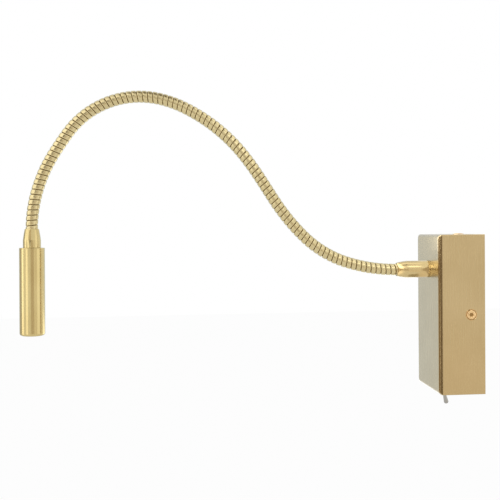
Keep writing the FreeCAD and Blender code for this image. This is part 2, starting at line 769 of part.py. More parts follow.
def arm_link(index):
    """Link number index with its stretch of the lead: bands on a tube, a socket and a ball."""
    stations = arm_stations()
    turns = link_turns()
    turn = turns[index]
    start, heading = stations[index]
    end, end_heading = stations[index + 1]
    out = heading_direction(end_heading)
    is_first = index == 0
    is_last = index == len(turns) - 1
    solids = [bent_rod(CORE_RADIUS, start, heading, turn, LINK_LENGTH)]
    bore = [bent_rod(ARM_BORE_RADIUS, start, heading, turn, LINK_LENGTH)]
    lead = [bent_rod(LEAD_RADIUS, start, heading, turn, LINK_LENGTH)]
    first_band = 0 if is_first else 1
    last_band = BANDS_PER_LINK if is_last else BANDS_PER_LINK - 1
    for number in range(first_band, last_band + 1):
        share = number / BANDS_PER_LINK
        place, band_heading = walked(start, heading, turn * share, LINK_LENGTH * share)
        solids.append(placed(band(), place, heading_direction(band_heading)))
    back = heading_direction(heading) * -1
    if is_first:
        solids.append(rod(SPIGOT_RADIUS, start, back, SPIGOT_LENGTH))
        bore.append(rod(ARM_BORE_RADIUS, start, back, SPIGOT_LENGTH))
        lead.append(rod(LEAD_RADIUS, start, back, SPIGOT_LENGTH))
    if is_last:
        solids.append(rod(SPIGOT_RADIUS, end, out, SPIGOT_LENGTH))
        bore.append(rod(ARM_BORE_RADIUS, end, out, SPIGOT_LENGTH))
        lead.append(rod(LEAD_RADIUS, end, out, SPIGOT_LENGTH))
    else:
        solids.append(placed(ball_band(), end, out))
        bore.append(rod(ARM_BORE_RADIUS, end, out, 2 * ARM_RADIUS))
        lead.append(rod(LEAD_RADIUS, end, out, lead_end()))
    link = solids[0].fuse(solids[1:])
    wire = union(lead)
    if not is_first:
        socket = Part.makeSphere(SOCKET_RADIUS, start)
        link = link.cut(socket)
        wire = wire.cut(socket)
    return [link.cut(union(bore)), wire]


# --- fittings at both ends of the arm -------------------------------------------------------------
def ferrule(length):
    """A sleeve about Z from its flat base to its rounded tip, where the arm comes out."""
    shoulder = length - FERRULE_TAPER
    rim = FERRULE_TIP_WALL / 2
    neck = length - FERRULE_NECK
    mid_radius = FERRULE_TIP_RADIUS + FERRULE_SWELL_SHARE * (FERRULE_RADIUS - FERRULE_TIP_RADIUS)
    edges = outline(
        (FERRULE_MOUTH_RADIUS, length),
        (FERRULE_MOUTH_RADIUS, neck),
        (FERRULE_BORE_RADIUS, neck),
        (FERRULE_BORE_RADIUS, 0),
        (FERRULE_RADIUS, 0),
        (FERRULE_RADIUS, shoulder),
    )
    edges.append(
        bulge(
            (FERRULE_RADIUS, shoulder),
            (mid_radius, shoulder + FERRULE_TAPER / 2),
            (FERRULE_TIP_RADIUS, length - rim),
        )
    )
    edges += outline((FERRULE_TIP_RADIUS, length - rim), (FERRULE_TIP_RADIUS - rim, length))
    edges += outline((FERRULE_TIP_RADIUS - rim, length), (FERRULE_MOUTH_RADIUS, length))
    return turned(edges)


def end_fitting(ferrule_length, thread_length):
    """A sleeve about Z for the arm's spigot, inside its ferrule, with a hollow thread below the origin."""
    sleeve_length = ferrule_length - FERRULE_NECK
    sleeve = rod(FITTING_RADIUS, V(0, 0, 0), UP, sleeve_length)
    seat = rod(FITTING_BORE_RADIUS, V(0, 0, ferrule_length - SPIGOT_LENGTH), UP, SPIGOT_LENGTH)
    thread = rod(NIPPLE_RADIUS, V(0, 0, 0), DOWN, thread_length)
    bore = rod(NIPPLE_BORE_RADIUS, V(0, 0, -thread_length), UP, thread_length + sleeve_length)
    return union([sleeve, thread]).cut([seat, bore])


def root_thread_length():
    """The nipple's length through the cover, its washer and its nut."""
    return COVER_WALL + NIPPLE_WASHER_THICKNESS + NIPPLE_NUT_THICKNESS + NIPPLE_END


def lock_nut(start, direction):
    """The nut on a fitting's thread."""
    nut = hex_bar(NIPPLE_NUT_HEX, start, direction, NIPPLE_NUT_THICKNESS)
    return nut.cut(rod(NIPPLE_RADIUS + THREAD_GAP, start, direction, NIPPLE_NUT_THICKNESS))


def root_washer():
    """The toothed washer inside the front of the box."""
    start = V(0, INNER_FRONT, ARM_HEIGHT)
    washer = ring(
        NIPPLE_WASHER_RADIUS, NIPPLE_RADIUS + HOLE_GAP, start, INWARD, NIPPLE_WASHER_THICKNESS
    )
    notch_radius = NIPPLE_WASHER_THICKNESS
    notches = []
    for i in range(12):
        angle = math.radians(30 * i)
        rim = V(math.cos(angle), 0, math.sin(angle)) * NIPPLE_WASHER_RADIUS
        notches.append(rod(notch_radius, start + rim, INWARD, NIPPLE_WASHER_THICKNESS))
    return washer.cut(notches)


# --- head -----------------------------------------------------------------------------------------
def head_frame():
    """The middle of the head's top face and the direction that the head points in."""
    end, heading = arm_stations()[-1]
    direction = heading_direction(heading)
    return end + direction * HEAD_FERRULE_LENGTH, direction


def in_head(shape):
    """A shape made about Z, with Z the way the head points and its origin at the head's top face."""
    top, direction = head_frame()
    return placed(shape, top, direction)


def towards_arm(shape):
    """A shape made about Z, turned to point from the head's top face up the arm."""
    top, direction = head_frame()
    return placed(shape, top, direction * -1)


def lip_top():
    """How far down the head the lens lip starts."""
    return HEAD_LENGTH - HEAD_LIP_THICKNESS


def lip_radius():
    """The radius of the head's open mouth."""
    return HEAD_BORE_RADIUS - HEAD_LIP


def head_barrel():
    """The tube of the head, with a rounded lip at the mouth that holds the lens."""
    mouth = lip_radius()
    side = HEAD_RADIUS - HEAD_MOUTH_ROUND
    corner = HEAD_MOUTH_ROUND * (1 - math.sqrt(0.5))
    edges = outline(
        (side, HEAD_LENGTH),
        (mouth, HEAD_LENGTH),
        (mouth, lip_top()),
        (HEAD_BORE_RADIUS, lip_top()),
        (HEAD_BORE_RADIUS, 0),
        (HEAD_RADIUS - HEAD_TOP_EASE, 0),
        (HEAD_RADIUS, HEAD_TOP_EASE),
        (HEAD_RADIUS, HEAD_LENGTH - HEAD_MOUTH_ROUND),
    )
    edges.append(
        bulge(
            (HEAD_RADIUS, HEAD_LENGTH - HEAD_MOUTH_ROUND),
            (HEAD_RADIUS - corner, HEAD_LENGTH - corner),
            (side, HEAD_LENGTH),
        )
    )
    return in_head(turned(edges))


def head_plug():
    """The threaded plug that closes the top of the barrel."""
    plug = ring(
        HEAD_INSERT_RADIUS, NIPPLE_RADIUS + THREAD_GAP, V(0, 0, 0), UP, HEAD_PLUG_THICKNESS
    )
    return in_head(plug)


def head_nut():
    """The lock nut under the plug."""
    return in_head(lock_nut(V(0, 0, HEAD_PLUG_THICKNESS), UP))


def head_thread_length():
    """The head fitting's thread through the plug and its nut."""
    return HEAD_PLUG_THICKNESS + NIPPLE_NUT_THICKNESS + NIPPLE_END


def lens_seal():
    """The sealing ring between the lip and the lens."""
    half = SEAL_SECTION / 2
    torus = Part.makeTorus(HEAD_INSERT_RADIUS - half, half - SEAL_GAP, V(0, 0, lip_top() - half), UP)
    return in_head(torus)


def lens_rim_top():
    """How far down the head the back of the lens rim lies."""
    return lip_top() - SEAL_SECTION - LENS_RIM_THICKNESS


def board_face():
    """How far down the head the front of the LED board lies."""
    return lens_rim_top() - LENS_DEPTH


def lens():
    """The clear collimator: a rim, a flank that narrows to the LED, and a cup around it."""
    rim_end = lens_rim_top() + LENS_RIM_THICKNESS
    foot = board_face() + LENS_FOOT_GAP
    flank_radius = HEAD_INSERT_RADIUS - LENS_RIM_REACH
    cup_radius = LENS_THROAT_RADIUS - LENS_CUP_WALL
    cup_top = foot + LENS_DEPTH / 2
    middle = ((flank_radius + LENS_THROAT_RADIUS) / 2 + LENS_BULGE, (lens_rim_top() + foot) / 2)
    edges = outline(
        (0, rim_end),
        (HEAD_INSERT_RADIUS, rim_end),
        (HEAD_INSERT_RADIUS, lens_rim_top()),
        (flank_radius, lens_rim_top()),
    )
    edges.append(bulge((flank_radius, lens_rim_top()), middle, (LENS_THROAT_RADIUS, foot)))
    edges += outline(
        (LENS_THROAT_RADIUS, foot), (cup_radius, foot), (cup_radius, cup_top), (0, cup_top), (0, rim_end)
    )
    return in_head(turned(edges))


def board_screw_places():
    """The x and y of the screws on the LED board, in the head's own axes."""
    return [(BOARD_SCREW_CIRCLE, 0), (-BOARD_SCREW_CIRCLE, 0)]


def led_board():
    """The round metal-core board."""
    back = board_face() - BOARD_THICKNESS
    board = rod(HEAD_INSERT_RADIUS, V(0, 0, back), UP, BOARD_THICKNESS)
    holes = [
        rod(BOARD_SCREW_RADIUS + HOLE_GAP, V(x, y, back), UP, BOARD_THICKNESS)
        for x, y in board_screw_places()
    ]
    holes.append(rod(LEAD_RADIUS + HOLE_GAP, V(0, lead_offset(), back), UP, BOARD_THICKNESS))
    return in_head(board.cut(holes))


def lead_offset():
    """How far off the axis the lead comes through the board."""
    return LENS_THROAT_RADIUS + LEAD_RADIUS + HOLE_GAP + LEAD_MARGIN


def led_emitter():
    """The LED: a square base with a small dome."""
    half = EMITTER_BASE / 2
    base = block((-half, half), (-half, half), (board_face(), board_face() + EMITTER_BASE_THICKNESS))
    dome = Part.makeSphere(EMITTER_DOME_RADIUS, V(0, 0, board_face() + EMITTER_BASE_THICKNESS))
    above = block((-half, half), (-half, half), (board_face(), board_face() + 2 * EMITTER_BASE))
    return in_head(union([base, dome.common(above)]))


def board_screws():
    """The two screws that hold the board to the heat sink."""
    return [
        in_head(
            slotted_screw(
                V(x, y, board_face()),
                DOWN,
                BOARD_SCREW_LENGTH,
                BOARD_SCREW_RADIUS,
                BOARD_SCREW_HEAD_RADIUS,
                BOARD_SCREW_HEAD_HEIGHT,
            )
        )
        for x, y in board_screw_places()
    ]


def sink_end():
    """How far down the head the front of the heat sink lies."""
    return board_face() - BOARD_THICKNESS


def heat_sink():
    """The turned heat sink: discs on a stem, bored for the lead, tapped for the board screws."""
    start = sink_end() - SINK_LENGTH
    disc_pitch = (SINK_LENGTH + SINK_FIN_GAP) / SINK_FINS
    disc = disc_pitch - SINK_FIN_GAP
    solids = [rod(SINK_STEM_RADIUS, V(0, 0, start), UP, SINK_LENGTH)]
    for i in range(SINK_FINS):
        solids.append(rod(HEAD_INSERT_RADIUS, V(0, 0, start + i * disc_pitch), UP, disc))
    thick_end = BOARD_SCREW_LENGTH - BOARD_THICKNESS + SINK_SCREW_MARGIN
    solids.append(rod(HEAD_INSERT_RADIUS, V(0, 0, sink_end() - thick_end), UP, thick_end))
    sink = union(solids)
    lead_way = rod(LEAD_RADIUS + HOLE_GAP, V(0, lead_offset(), start), UP, SINK_LENGTH)
    taps = [
        rod(BOARD_SCREW_RADIUS + THREAD_GAP, V(x, y, board_face()), DOWN, BOARD_SCREW_LENGTH)
        for x, y in board_screw_places()
    ]
    return in_head(sink.cut([lead_way] + taps))


def head_lead():
    """The end of the lead: from the arm down the barrel to the LED board."""
    top = SPIGOT_LENGTH - HEAD_FERRULE_LENGTH
    knee = head_thread_length() + LEAD_STRAIGHT
    sink_start = sink_end() - SINK_LENGTH
    points = [
        V(0, 0, top),
        V(0, 0, knee),
        V(0, lead_offset(), (knee + sink_start) / 2 + LEAD_STRAIGHT),
        V(0, lead_offset(), board_face()),
    ]
    return in_head(wire_along(points, LEAD_RADIUS))


# --- wires in the box -----------------------------------------------------------------------------
def driver_z(side):
    """The z of the driver's top (1) or bottom (-1)."""
    return DRIVER_CENTRE_HEIGHT + side * DRIVER_HEIGHT / 2


def live_wire():
    """From the left clamp down beside the driver to the switch's front lug."""
    low, _ = terminal_ends()
    x = outer_poles()[0]
    beside = -DRIVER_WIDTH / 2 - DRIVER_EAR_LENGTH / 2
    lug = V(0, switch_terminal_places()[0], switch_terminal_top())
    clamp_end = V(x, terminal_y(), low)
    points = [
        clamp_end + UP * WIRE_INSERTION,
        clamp_end + LIVE_BEND_BELOW_CLAMP,
        V(beside, terminal_y(), low) + LIVE_BEND_TO_SIDE,
        V(beside, terminal_y(), driver_z(1)) + LIVE_BEND_BESIDE_DRIVER,
        V(beside, terminal_y(), driver_z(-1)) + LIVE_BEND_BELOW_DRIVER,
        V(beside / 2, lug.y, lug.z) + LIVE_BEND_OVER_SWITCH,
        lug + LIVE_BEND_ABOVE_LUG,
        lug,
    ]
    return wire_along(points, WIRE_RADIUS)


def switched_wire():
    """From the switch's middle lug up to the bottom of the driver."""
    lug = V(0, switch_terminal_places()[1], switch_terminal_top())
    entry = V(-DRIVER_WIDTH / 4, PLATE_FRONT - DRIVER_DEPTH / 2, driver_z(-1))
    points = [lug, lug + UP * SWITCHED_RISE, entry + DOWN * SWITCHED_DROP, entry]
    return wire_along(points, WIRE_RADIUS)


def neutral_wire():
    """From the right clamp down to the top of the driver."""
    low, _ = terminal_ends()
    start = V(outer_poles()[-1], terminal_y(), low + WIRE_INSERTION)
    return rod(WIRE_RADIUS, start, DOWN, start.z - driver_z(1))


def box_lead():
    """The lead from the driver's top, in front of the terminal block, into the arm."""
    y = PLATE_FRONT - TERMINAL_DEPTH - BOX_LEAD_GAP
    arm_end = V(0, FRONT - ROOT_FERRULE_LENGTH + SPIGOT_LENGTH, ARM_HEIGHT)
    return wire_along([V(0, y, driver_z(1)), V(0, y, ARM_HEIGHT), arm_end], LEAD_RADIUS)


# --- all sub-parts --------------------------------------------------------------------------------
def box_parts():
    """The wall box and what it holds, by name."""
    front = V(0, FRONT, ARM_HEIGHT)
    behind_washer = V(0, INNER_FRONT + NIPPLE_WASHER_THICKNESS, ARM_HEIGHT)
    root_fitting = end_fitting(ROOT_FERRULE_LENGTH, root_thread_length())
    return {
        "wall_plate": wall_plate(),
        "cover": cover(),
        "cover_screws": [cover_screw(place, way) for place, way in cover_screw_places()],
        "cable_bush": cable_bush(),
        "led_driver": led_driver(),
        "driver_screws": driver_screws(),
        "terminal_block": terminal_block(),
        "terminal_clamps": terminal_clamps(),
        "clamp_screws": clamp_screws(),
        "terminal_block_screw": terminal_block_screw(),
        "earth_stud": earth_stud(),
        "earth_washer": earth_washer(),
        "earth_nut": earth_nut(),
        "switch_body": switch_body(),
        "switch_bushing": switch_bushing(),
        "switch_washer": switch_washer(),
        "switch_nut": switch_nut(),
        "switch_terminals": switch_terminals(),
        "switch_lever": switch_lever(),
        "live_wire": live_wire(),
        "switched_wire": switched_wire(),
        "neutral_wire": neutral_wire(),
        "box_lead": box_lead(),
        "root_fitting": placed(root_fitting, front, OUTWARD),
        "root_washer": root_washer(),
        "root_nut": lock_nut(behind_washer, INWARD),
        "root_ferrule": placed(ferrule(ROOT_FERRULE_LENGTH), front, OUTWARD),
    }


def arm_parts():
    """The links of the arm, by name."""
    return {f"arm_link_{i + 1:02d}": arm_link(i) for i in range(len(link_turns()))}


def head_parts():
    """The head and its fittings, by name."""
    return {
        "head_ferrule": towards_arm(ferrule(HEAD_FERRULE_LENGTH)),
        "head_fitting": towards_arm(end_fitting(HEAD_FERRULE_LENGTH, head_thread_length())),
        "head_plug": head_plug(),
        "head_nut": head_nut(),
        "head_barrel": head_barrel(),
        "lens_seal": lens_seal(),
        "lens": lens(),
        "led_emitter": led_emitter(),
        "led_board": led_board(),
        "board_screws": board_screws(),
        "heat_sink": heat_sink(),
        "head_lead": head_lead(),
    }


def main():
    """Builds every sub-part, writes its file and prints the joints of the arm."""
    os.makedirs("parts", exist_ok=True)
    for name, solids in {**box_parts(), **arm_parts(), **head_parts()}.items():
        save(name, solids)
    for number, (place, heading) in enumerate(arm_stations()):
        print(f"arm joint {number}: {place.y:.4f} {place.z:.4f} heading {heading:.2f}")
    print(f"lever pivot: {lever_pivot()}")


main()
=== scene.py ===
"""Bedside wall reading lamp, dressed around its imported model.

A satin brass box on the wall, a wound brass gooseneck and a slim cylindrical head. Sizes are in
millimetres and turn into metres where a mesh is made. The origin is the middle of the box on the wall
plane, X runs along the wall, the lamp stands out towards -Y and Z is up.
"""

import json
import logging
import math
from collections.abc import Sequence
from dataclasses import dataclass, field
from enum import Enum

import bmesh
import bpy
import numpy as np
from mathutils import Matrix, Vector


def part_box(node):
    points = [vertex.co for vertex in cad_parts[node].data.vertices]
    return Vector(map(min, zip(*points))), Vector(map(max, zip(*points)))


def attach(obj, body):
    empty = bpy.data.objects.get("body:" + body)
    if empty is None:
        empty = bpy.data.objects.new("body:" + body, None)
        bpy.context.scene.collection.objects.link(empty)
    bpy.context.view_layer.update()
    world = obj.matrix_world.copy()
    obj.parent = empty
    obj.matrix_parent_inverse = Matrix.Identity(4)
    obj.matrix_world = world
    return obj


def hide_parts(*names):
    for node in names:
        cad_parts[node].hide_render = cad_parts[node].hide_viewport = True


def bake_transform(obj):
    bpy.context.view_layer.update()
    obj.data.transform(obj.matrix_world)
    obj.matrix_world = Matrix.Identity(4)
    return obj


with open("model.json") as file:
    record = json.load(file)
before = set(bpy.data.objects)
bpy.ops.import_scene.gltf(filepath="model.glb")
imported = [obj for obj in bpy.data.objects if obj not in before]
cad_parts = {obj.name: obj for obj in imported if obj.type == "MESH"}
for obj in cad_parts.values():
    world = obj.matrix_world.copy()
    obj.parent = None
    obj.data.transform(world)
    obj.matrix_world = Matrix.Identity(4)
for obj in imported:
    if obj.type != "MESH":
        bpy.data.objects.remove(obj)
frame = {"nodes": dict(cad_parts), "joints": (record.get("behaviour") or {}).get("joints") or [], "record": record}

LOG = logging.getLogger("reading_lamp")
MM = 0.001
MERGE_DISTANCE = 2e-6
NEARLY_PARALLEL = 0.1

Array = np.ndarray
Colour = tuple[float, float, float, float]
Pair = tuple[float, float]
Corner = tuple[float, float, float]  # radius, height and rounding
Place = tuple[float, float, float]

UP = np.array([0.0, 0.0, 1.0])
DOWN = -UP
OUTWARD = np.array([0.0, -1.0, 0.0])
RIGHT = np.array([1.0, 0.0, 0.0])


# --- finishes -------------------------------------------------------------------------------------
MARK_OCTAVES = (5.0, 0.62)  # octaves of the fine marks' noise, and the weight of the finer ones
CLOUD_OCTAVES = (3.0, 0.5)  # the same for the broad clouds
NOISE_REACH = 0.22  # how far noise goes from a half
LEAST_ROUGHNESS = 0.02
CLEAR_IOR = 1.49
WHITE: Colour = (1.0, 1.0, 1.0, 1.0)


def shade(red: int, green: int, blue: int) -> Colour:
    """A colour given as it looks on a screen, as the linear values that a shader takes.

    The step is the sRGB curve: straight near black, then a power of 2.4.

    Args:
        red: Red, 0 to 255.
        green: Green, 0 to 255.
        blue: Blue, 0 to 255.

    Returns:
        Linear red, green, blue and an alpha of 1.
    """
    parts = [value / 255 for value in (red, green, blue)]
    linear = [c / 12.92 if c <= 0.04045 else ((c + 0.055) / 1.055) ** 2.4 for c in parts]
    return (*linear, 1.0)


class Grain(Enum):
    """How the fine marks of a finish run, as marks per metre along X, Y and Z."""

    UPRIGHT = (2600.0, 2600.0, 35.0)
    TURNED_UPRIGHT = (60.0, 60.0, 5200.0)
    TURNED_OUTWARDS = (60.0, 5200.0, 60.0)
    ALONG_STRIP = (0.08, 26.0, 1.0)  # marks per millimetre along and across the strip's own map
    SPECKLED = (900.0, 900.0, 900.0)
    COARSE = (260.0, 260.0, 260.0)


@dataclass(frozen=True)
class Finish:
    """A surface finish: two tones mixed by fine marks and by broad clouds, with its gloss and relief.

    Attributes:
        slot: The material slot of the record that the finish belongs to.
        light: The lighter tone.
        dark: The darker tone.
        roughness: Mean roughness.
        grain: How the fine marks run.
        metallic: 1 for bare metal.
        unevenness: How much the roughness follows the marks.
        relief_mm: Height of the marks.
        clouds_per_m: How many broad clouds to the metre.
        fine_share: How much of the tone follows the fine marks, the rest following the clouds.
        edge: The tint of a metal seen at a grazing angle.
        clear: 1 for a clear plastic.
        on_strip: The marks follow the piece's own map, which runs along a wound strip.
        name: Name of the material, the slot's own name when empty.
    """

    slot: str
    light: Colour
    dark: Colour
    roughness: float
    grain: Grain = Grain.SPECKLED
    metallic: float = 0.0
    unevenness: float = 0.08
    relief_mm: float = 0.01
    clouds_per_m: float = 45.0
    fine_share: float = 0.6
    edge: Colour = WHITE
    clear: float = 0.0
    on_strip: bool = False
    name: str = ""

    def material(self) -> bpy.types.Material:
        """The finish's material, made once."""
        name = f"finish_{self.name or self.slot}"
        return bpy.data.materials.get(name) or FinishTree(name, self).material


class Tree:
    """A node tree, filled from nothing.

    Args:
        owner: The material or world that it belongs to.
    """

    def __init__(self, owner: bpy.types.Material | bpy.types.World) -> None:
        owner.use_nodes = True
        self.tree = owner.node_tree
        self.tree.nodes.clear()

    def add(
        self, kind: str, values: dict[str | int, object] | None = None, **settings: object
    ) -> bpy.types.Node:
        """Adds a node.

        Args:
            kind: Its kind.
            values: What its inputs hold while nothing is joined to them, by name or number.
            settings: Its properties.

        Returns:
            The node.
        """
        node = self.tree.nodes.new(kind)
        for key, value in settings.items():
            setattr(node, key, value)
        for key, value in (values or {}).items():
            node.inputs[key].default_value = value
        return node

    def join(self, source: bpy.types.NodeSocket, target: bpy.types.NodeSocket) -> None:
        """Links one socket to another."""
        self.tree.links.new(source, target)


class FinishTree(Tree):
    """The node tree of one finish.

    Args:
        name: Name of the material.
        finish: What it looks like.
    """

    def __init__(self, name: str, finish: Finish) -> None:
        self.finish = finish
        self.material = bpy.data.materials.new(name)
        super().__init__(self.material)
        # What is the same all over the surface is set on the shader's own sockets.
        constants = {
            "Metallic": finish.metallic,
            "Specular Tint": finish.edge,
            "Transmission Weight": finish.clear,
        }
        if finish.clear:
            constants["IOR"] = CLEAR_IOR
        self.shader = self.add("ShaderNodeBsdfPrincipled", constants)
        output = self.add("ShaderNodeOutputMaterial")
        self.join(self.shader.outputs["BSDF"], output.inputs["Surface"])
        self.set_patterns()

    def marks(self) -> bpy.types.NodeSocket:
        """The fine marks: noise stretched the way that the grain runs."""
        coordinates = self.add("ShaderNodeTexCoord")
        source = coordinates.outputs["UV" if self.finish.on_strip else "Object"]
        mapping = self.add("ShaderNodeMapping", {"Scale": self.finish.grain.value})
        self.join(source, mapping.inputs["Vector"])
        return self.noise(mapping.outputs["Vector"], 1.0, *MARK_OCTAVES)

    def clouds(self) -> bpy.types.NodeSocket:
        """The broad clouds: soft noise, the same size each way."""
        coordinates = self.add("ShaderNodeTexCoord")
        return self.noise(coordinates.outputs["Object"], self.finish.clouds_per_m, *CLOUD_OCTAVES)

    def noise(
        self, vector: bpy.types.NodeSocket, scale: float, detail: float, roughness: float
    ) -> bpy.types.NodeSocket:
        """A noise texture's value.

        Args:
            vector: Where it is read.
            scale: Its scale.
            detail: Its number of octaves.
            roughness: The weight of the finer octaves.

        Returns:
            The socket that gives the value.
        """
        values = {"Scale": scale, "Detail": detail, "Roughness": roughness}
        node = self.add("ShaderNodeTexNoise", values)
        self.join(vector, node.inputs["Vector"])
        return node.outputs["Fac"]

    def spread(self, value: bpy.types.NodeSocket, low: float, high: float) -> bpy.types.NodeSocket:
        """Noise, which stays near a half, spread from one value to another.

        Args:
            value: The noise.
            low: The value for low noise.
            high: The value for high noise.

        Returns:
            The socket that gives the spread value.
        """
        reach = {"From Min": 0.5 - NOISE_REACH, "From Max": 0.5 + NOISE_REACH}
        node = self.add("ShaderNodeMapRange", reach | {"To Min": low, "To Max": high})
        self.join(value, node.inputs["Value"])
        return node.outputs["Result"]

    def set_patterns(self) -> None:
        """Joins the marks and clouds to the colour, roughness and relief."""
        finish = self.finish
        marks = self.marks()
        clouds = self.clouds()
        blend = self.add("ShaderNodeMath", operation="ADD")
        self.join(self.spread(marks, 0.0, finish.fine_share), blend.inputs[0])
        self.join(self.spread(clouds, 0.0, 1.0 - finish.fine_share), blend.inputs[1])
        tone = self.add("ShaderNodeMix", {"A": finish.dark, "B": finish.light}, data_type="RGBA")
        self.join(blend.outputs["Value"], tone.inputs["Factor"])
        self.join(tone.outputs["Result"], self.shader.inputs["Base Color"])
        low = max(finish.roughness - finish.unevenness / 2, LEAST_ROUGHNESS)
        rough = self.spread(marks, low, finish.roughness + finish.unevenness / 2)
        self.join(rough, self.shader.inputs["Roughness"])
        bump = self.add("ShaderNodeBump", {"Strength": 1.0, "Distance": finish.relief_mm * MM})
        self.join(marks, bump.inputs["Height"])
        self.join(bump.outputs["Normal"], self.shader.inputs["Normal"])


BRASS_LIGHT = shade(202, 180, 136)
BRASS_DARK = shade(188, 166, 121)
BRASS_EDGE = (0.82, 0.9, 1.0, 1.0)

BOX_BRASS = Finish(
    "brushed_brass", BRASS_LIGHT, BRASS_DARK, 0.25, Grain.UPRIGHT, 1.0,
    relief_mm=0.0012, edge=BRASS_EDGE, name="box_brass",
)
HEAD_BRASS = Finish(
    "brushed_brass", shade(215, 196, 141), shade(200, 179, 123), 0.2, Grain.UPRIGHT, 1.0,
    relief_mm=0.0008, edge=BRASS_EDGE, name="head_brass",
)
SLEEVE_BRASS = Finish(
    "brushed_brass", shade(212, 190, 138), shade(196, 172, 120), 0.2, Grain.TURNED_OUTWARDS, 1.0,
    relief_mm=0.0008, edge=BRASS_EDGE, name="sleeve_brass",
)
PLUG_BRASS = Finish(
    "brushed_brass", BRASS_LIGHT, BRASS_DARK, 0.3, Grain.SPECKLED, 1.0, relief_mm=0.001, name="plug_brass",
)
SCREW_BRASS = Finish(
    "polished_brass", shade(236, 202, 150), shade(222, 186, 132), 0.2, Grain.SPECKLED, 1.0,
    relief_mm=0.0006,
)
# Dark brass laid in the screws' gaps and sockets as painted shade.
SCREW_PAINTED_SHADE = Finish(
    "polished_brass", shade(166, 132, 82), shade(142, 110, 62), 0.45, Grain.COARSE, 1.0, name="screw_painted_shade"
)
STRIP_BRASS = Finish(
    "wound_brass", shade(218, 202, 155), shade(203, 186, 138), 0.26, Grain.ALONG_STRIP, 1.0,
    relief_mm=0.001, edge=BRASS_EDGE, on_strip=True, name="strip_brass",
)
# The tube's brass, darkened to brown as painted shade in the grooves between the turns of the strip.
CORE_BRASS_PAINTED_SHADE = Finish(
    "wound_brass", shade(120, 92, 50), shade(84, 60, 30), 0.45, Grain.COARSE, 1.0, name="core_brass_painted_shade"
)
# Nickel's own grey, made darker as painted shade for the dark reflections that a chrome lever shows.
NICKEL_PAINTED_DARK = Finish(
    "nickel", shade(178, 175, 168), shade(152, 149, 142), 0.12, Grain.COARSE, 1.0, relief_mm=0.0008,
)
ZINC = Finish(
    "zinc_steel", shade(176, 178, 180), shade(128, 132, 136), 0.38, Grain.COARSE, 1.0,
    unevenness=0.2, relief_mm=0.004, clouds_per_m=120.0, fine_share=0.3,
)
SINK = Finish(
    "sink_aluminium", shade(196, 198, 200), shade(158, 160, 164), 0.32, Grain.TURNED_UPRIGHT, 1.0,
    relief_mm=0.002,
)
BLACK_RUBBER = Finish("black_rubber", shade(44, 44, 44), shade(26, 26, 27), 0.7, relief_mm=0.02)
WHITE_PLASTIC = Finish("white_plastic", shade(232, 230, 224), shade(216, 213, 205), 0.42, relief_mm=0.012)
DARK_PLASTIC = Finish("dark_plastic", shade(50, 50, 52), shade(32, 32, 34), 0.5, relief_mm=0.02)
BROWN_WIRE = Finish("brown_wire", shade(116, 70, 44), shade(94, 54, 32), 0.45, relief_mm=0.006)
BLUE_WIRE = Finish("blue_wire", shade(52, 96, 168), shade(38, 76, 142), 0.45, relief_mm=0.006)
BLACK_LEAD = Finish("black_lead", shade(48, 48, 50), shade(32, 32, 33), 0.5, relief_mm=0.006)
WHITE_BOARD = Finish("white_board", shade(236, 236, 232), shade(222, 222, 216), 0.35, relief_mm=0.006)
PHOSPHOR = Finish("yellow_phosphor", shade(236, 206, 92), shade(218, 184, 66), 0.3, relief_mm=0.004)
LENS = Finish(
    "clear_lens", shade(250, 250, 248), shade(240, 241, 240), 0.05, unevenness=0.03, relief_mm=0.0006,
    clear=1.0,
)

FINISH_OF_SLOT = {
    finish.slot: finish
    for finish in (
        BOX_BRASS, SCREW_BRASS, NICKEL_PAINTED_DARK, ZINC, SINK, BLACK_RUBBER, WHITE_PLASTIC, DARK_PLASTIC, BROWN_WIRE,
        BLUE_WIRE, BLACK_LEAD, WHITE_BOARD, PHOSPHOR, LENS,
    )
}


# --- surfaces -------------------------------------------------------------------------------------
FLAT_MARGIN = 1.25  # where a run's own point lies beside an arc, as a share of the arc's reach
SHARP_DEG = 35.0


@dataclass(frozen=True)
class Surface:
    """Points in millimetres and the four-sided faces between them.

    Attributes:
        points: One row of x, y, z for each point.
        quads: One row of four point numbers for each face.
        finish: What the surface is finished in.
        strip_map: One row of u, v for each point, or None.
    """

    points: Array
    quads: Array
    finish: Finish
    strip_map: Array | None = None


def unit(vector: Array) -> Array:
    """The vector at length 1."""
    return vector / np.linalg.norm(vector)


def grid_quads(rows: int, columns: int, wrap_rows: bool, wrap_columns: bool) -> Array:
    """The faces of a grid of points, row after row.

    Args:
        rows: Number of rows.
        columns: Number of columns.
        wrap_rows: Whether the last row joins the first.
        wrap_columns: Whether the last column joins the first.

    Returns:
        One row of four point numbers for each face.
    """
    row = np.arange(rows if wrap_rows else rows - 1)
    column = np.arange(columns if wrap_columns else columns - 1)
    near_row, near_column = np.meshgrid(row, column, indexing="ij")
    far_row = (near_row + 1) % rows
    far_column = (near_column + 1) % columns
    corners = [
        near_row * columns + near_column,
        far_row * columns + near_column,
        far_row * columns + far_column,
        near_row * columns + far_column,
    ]
    return np.stack(corners, axis=-1).reshape(-1, 4)


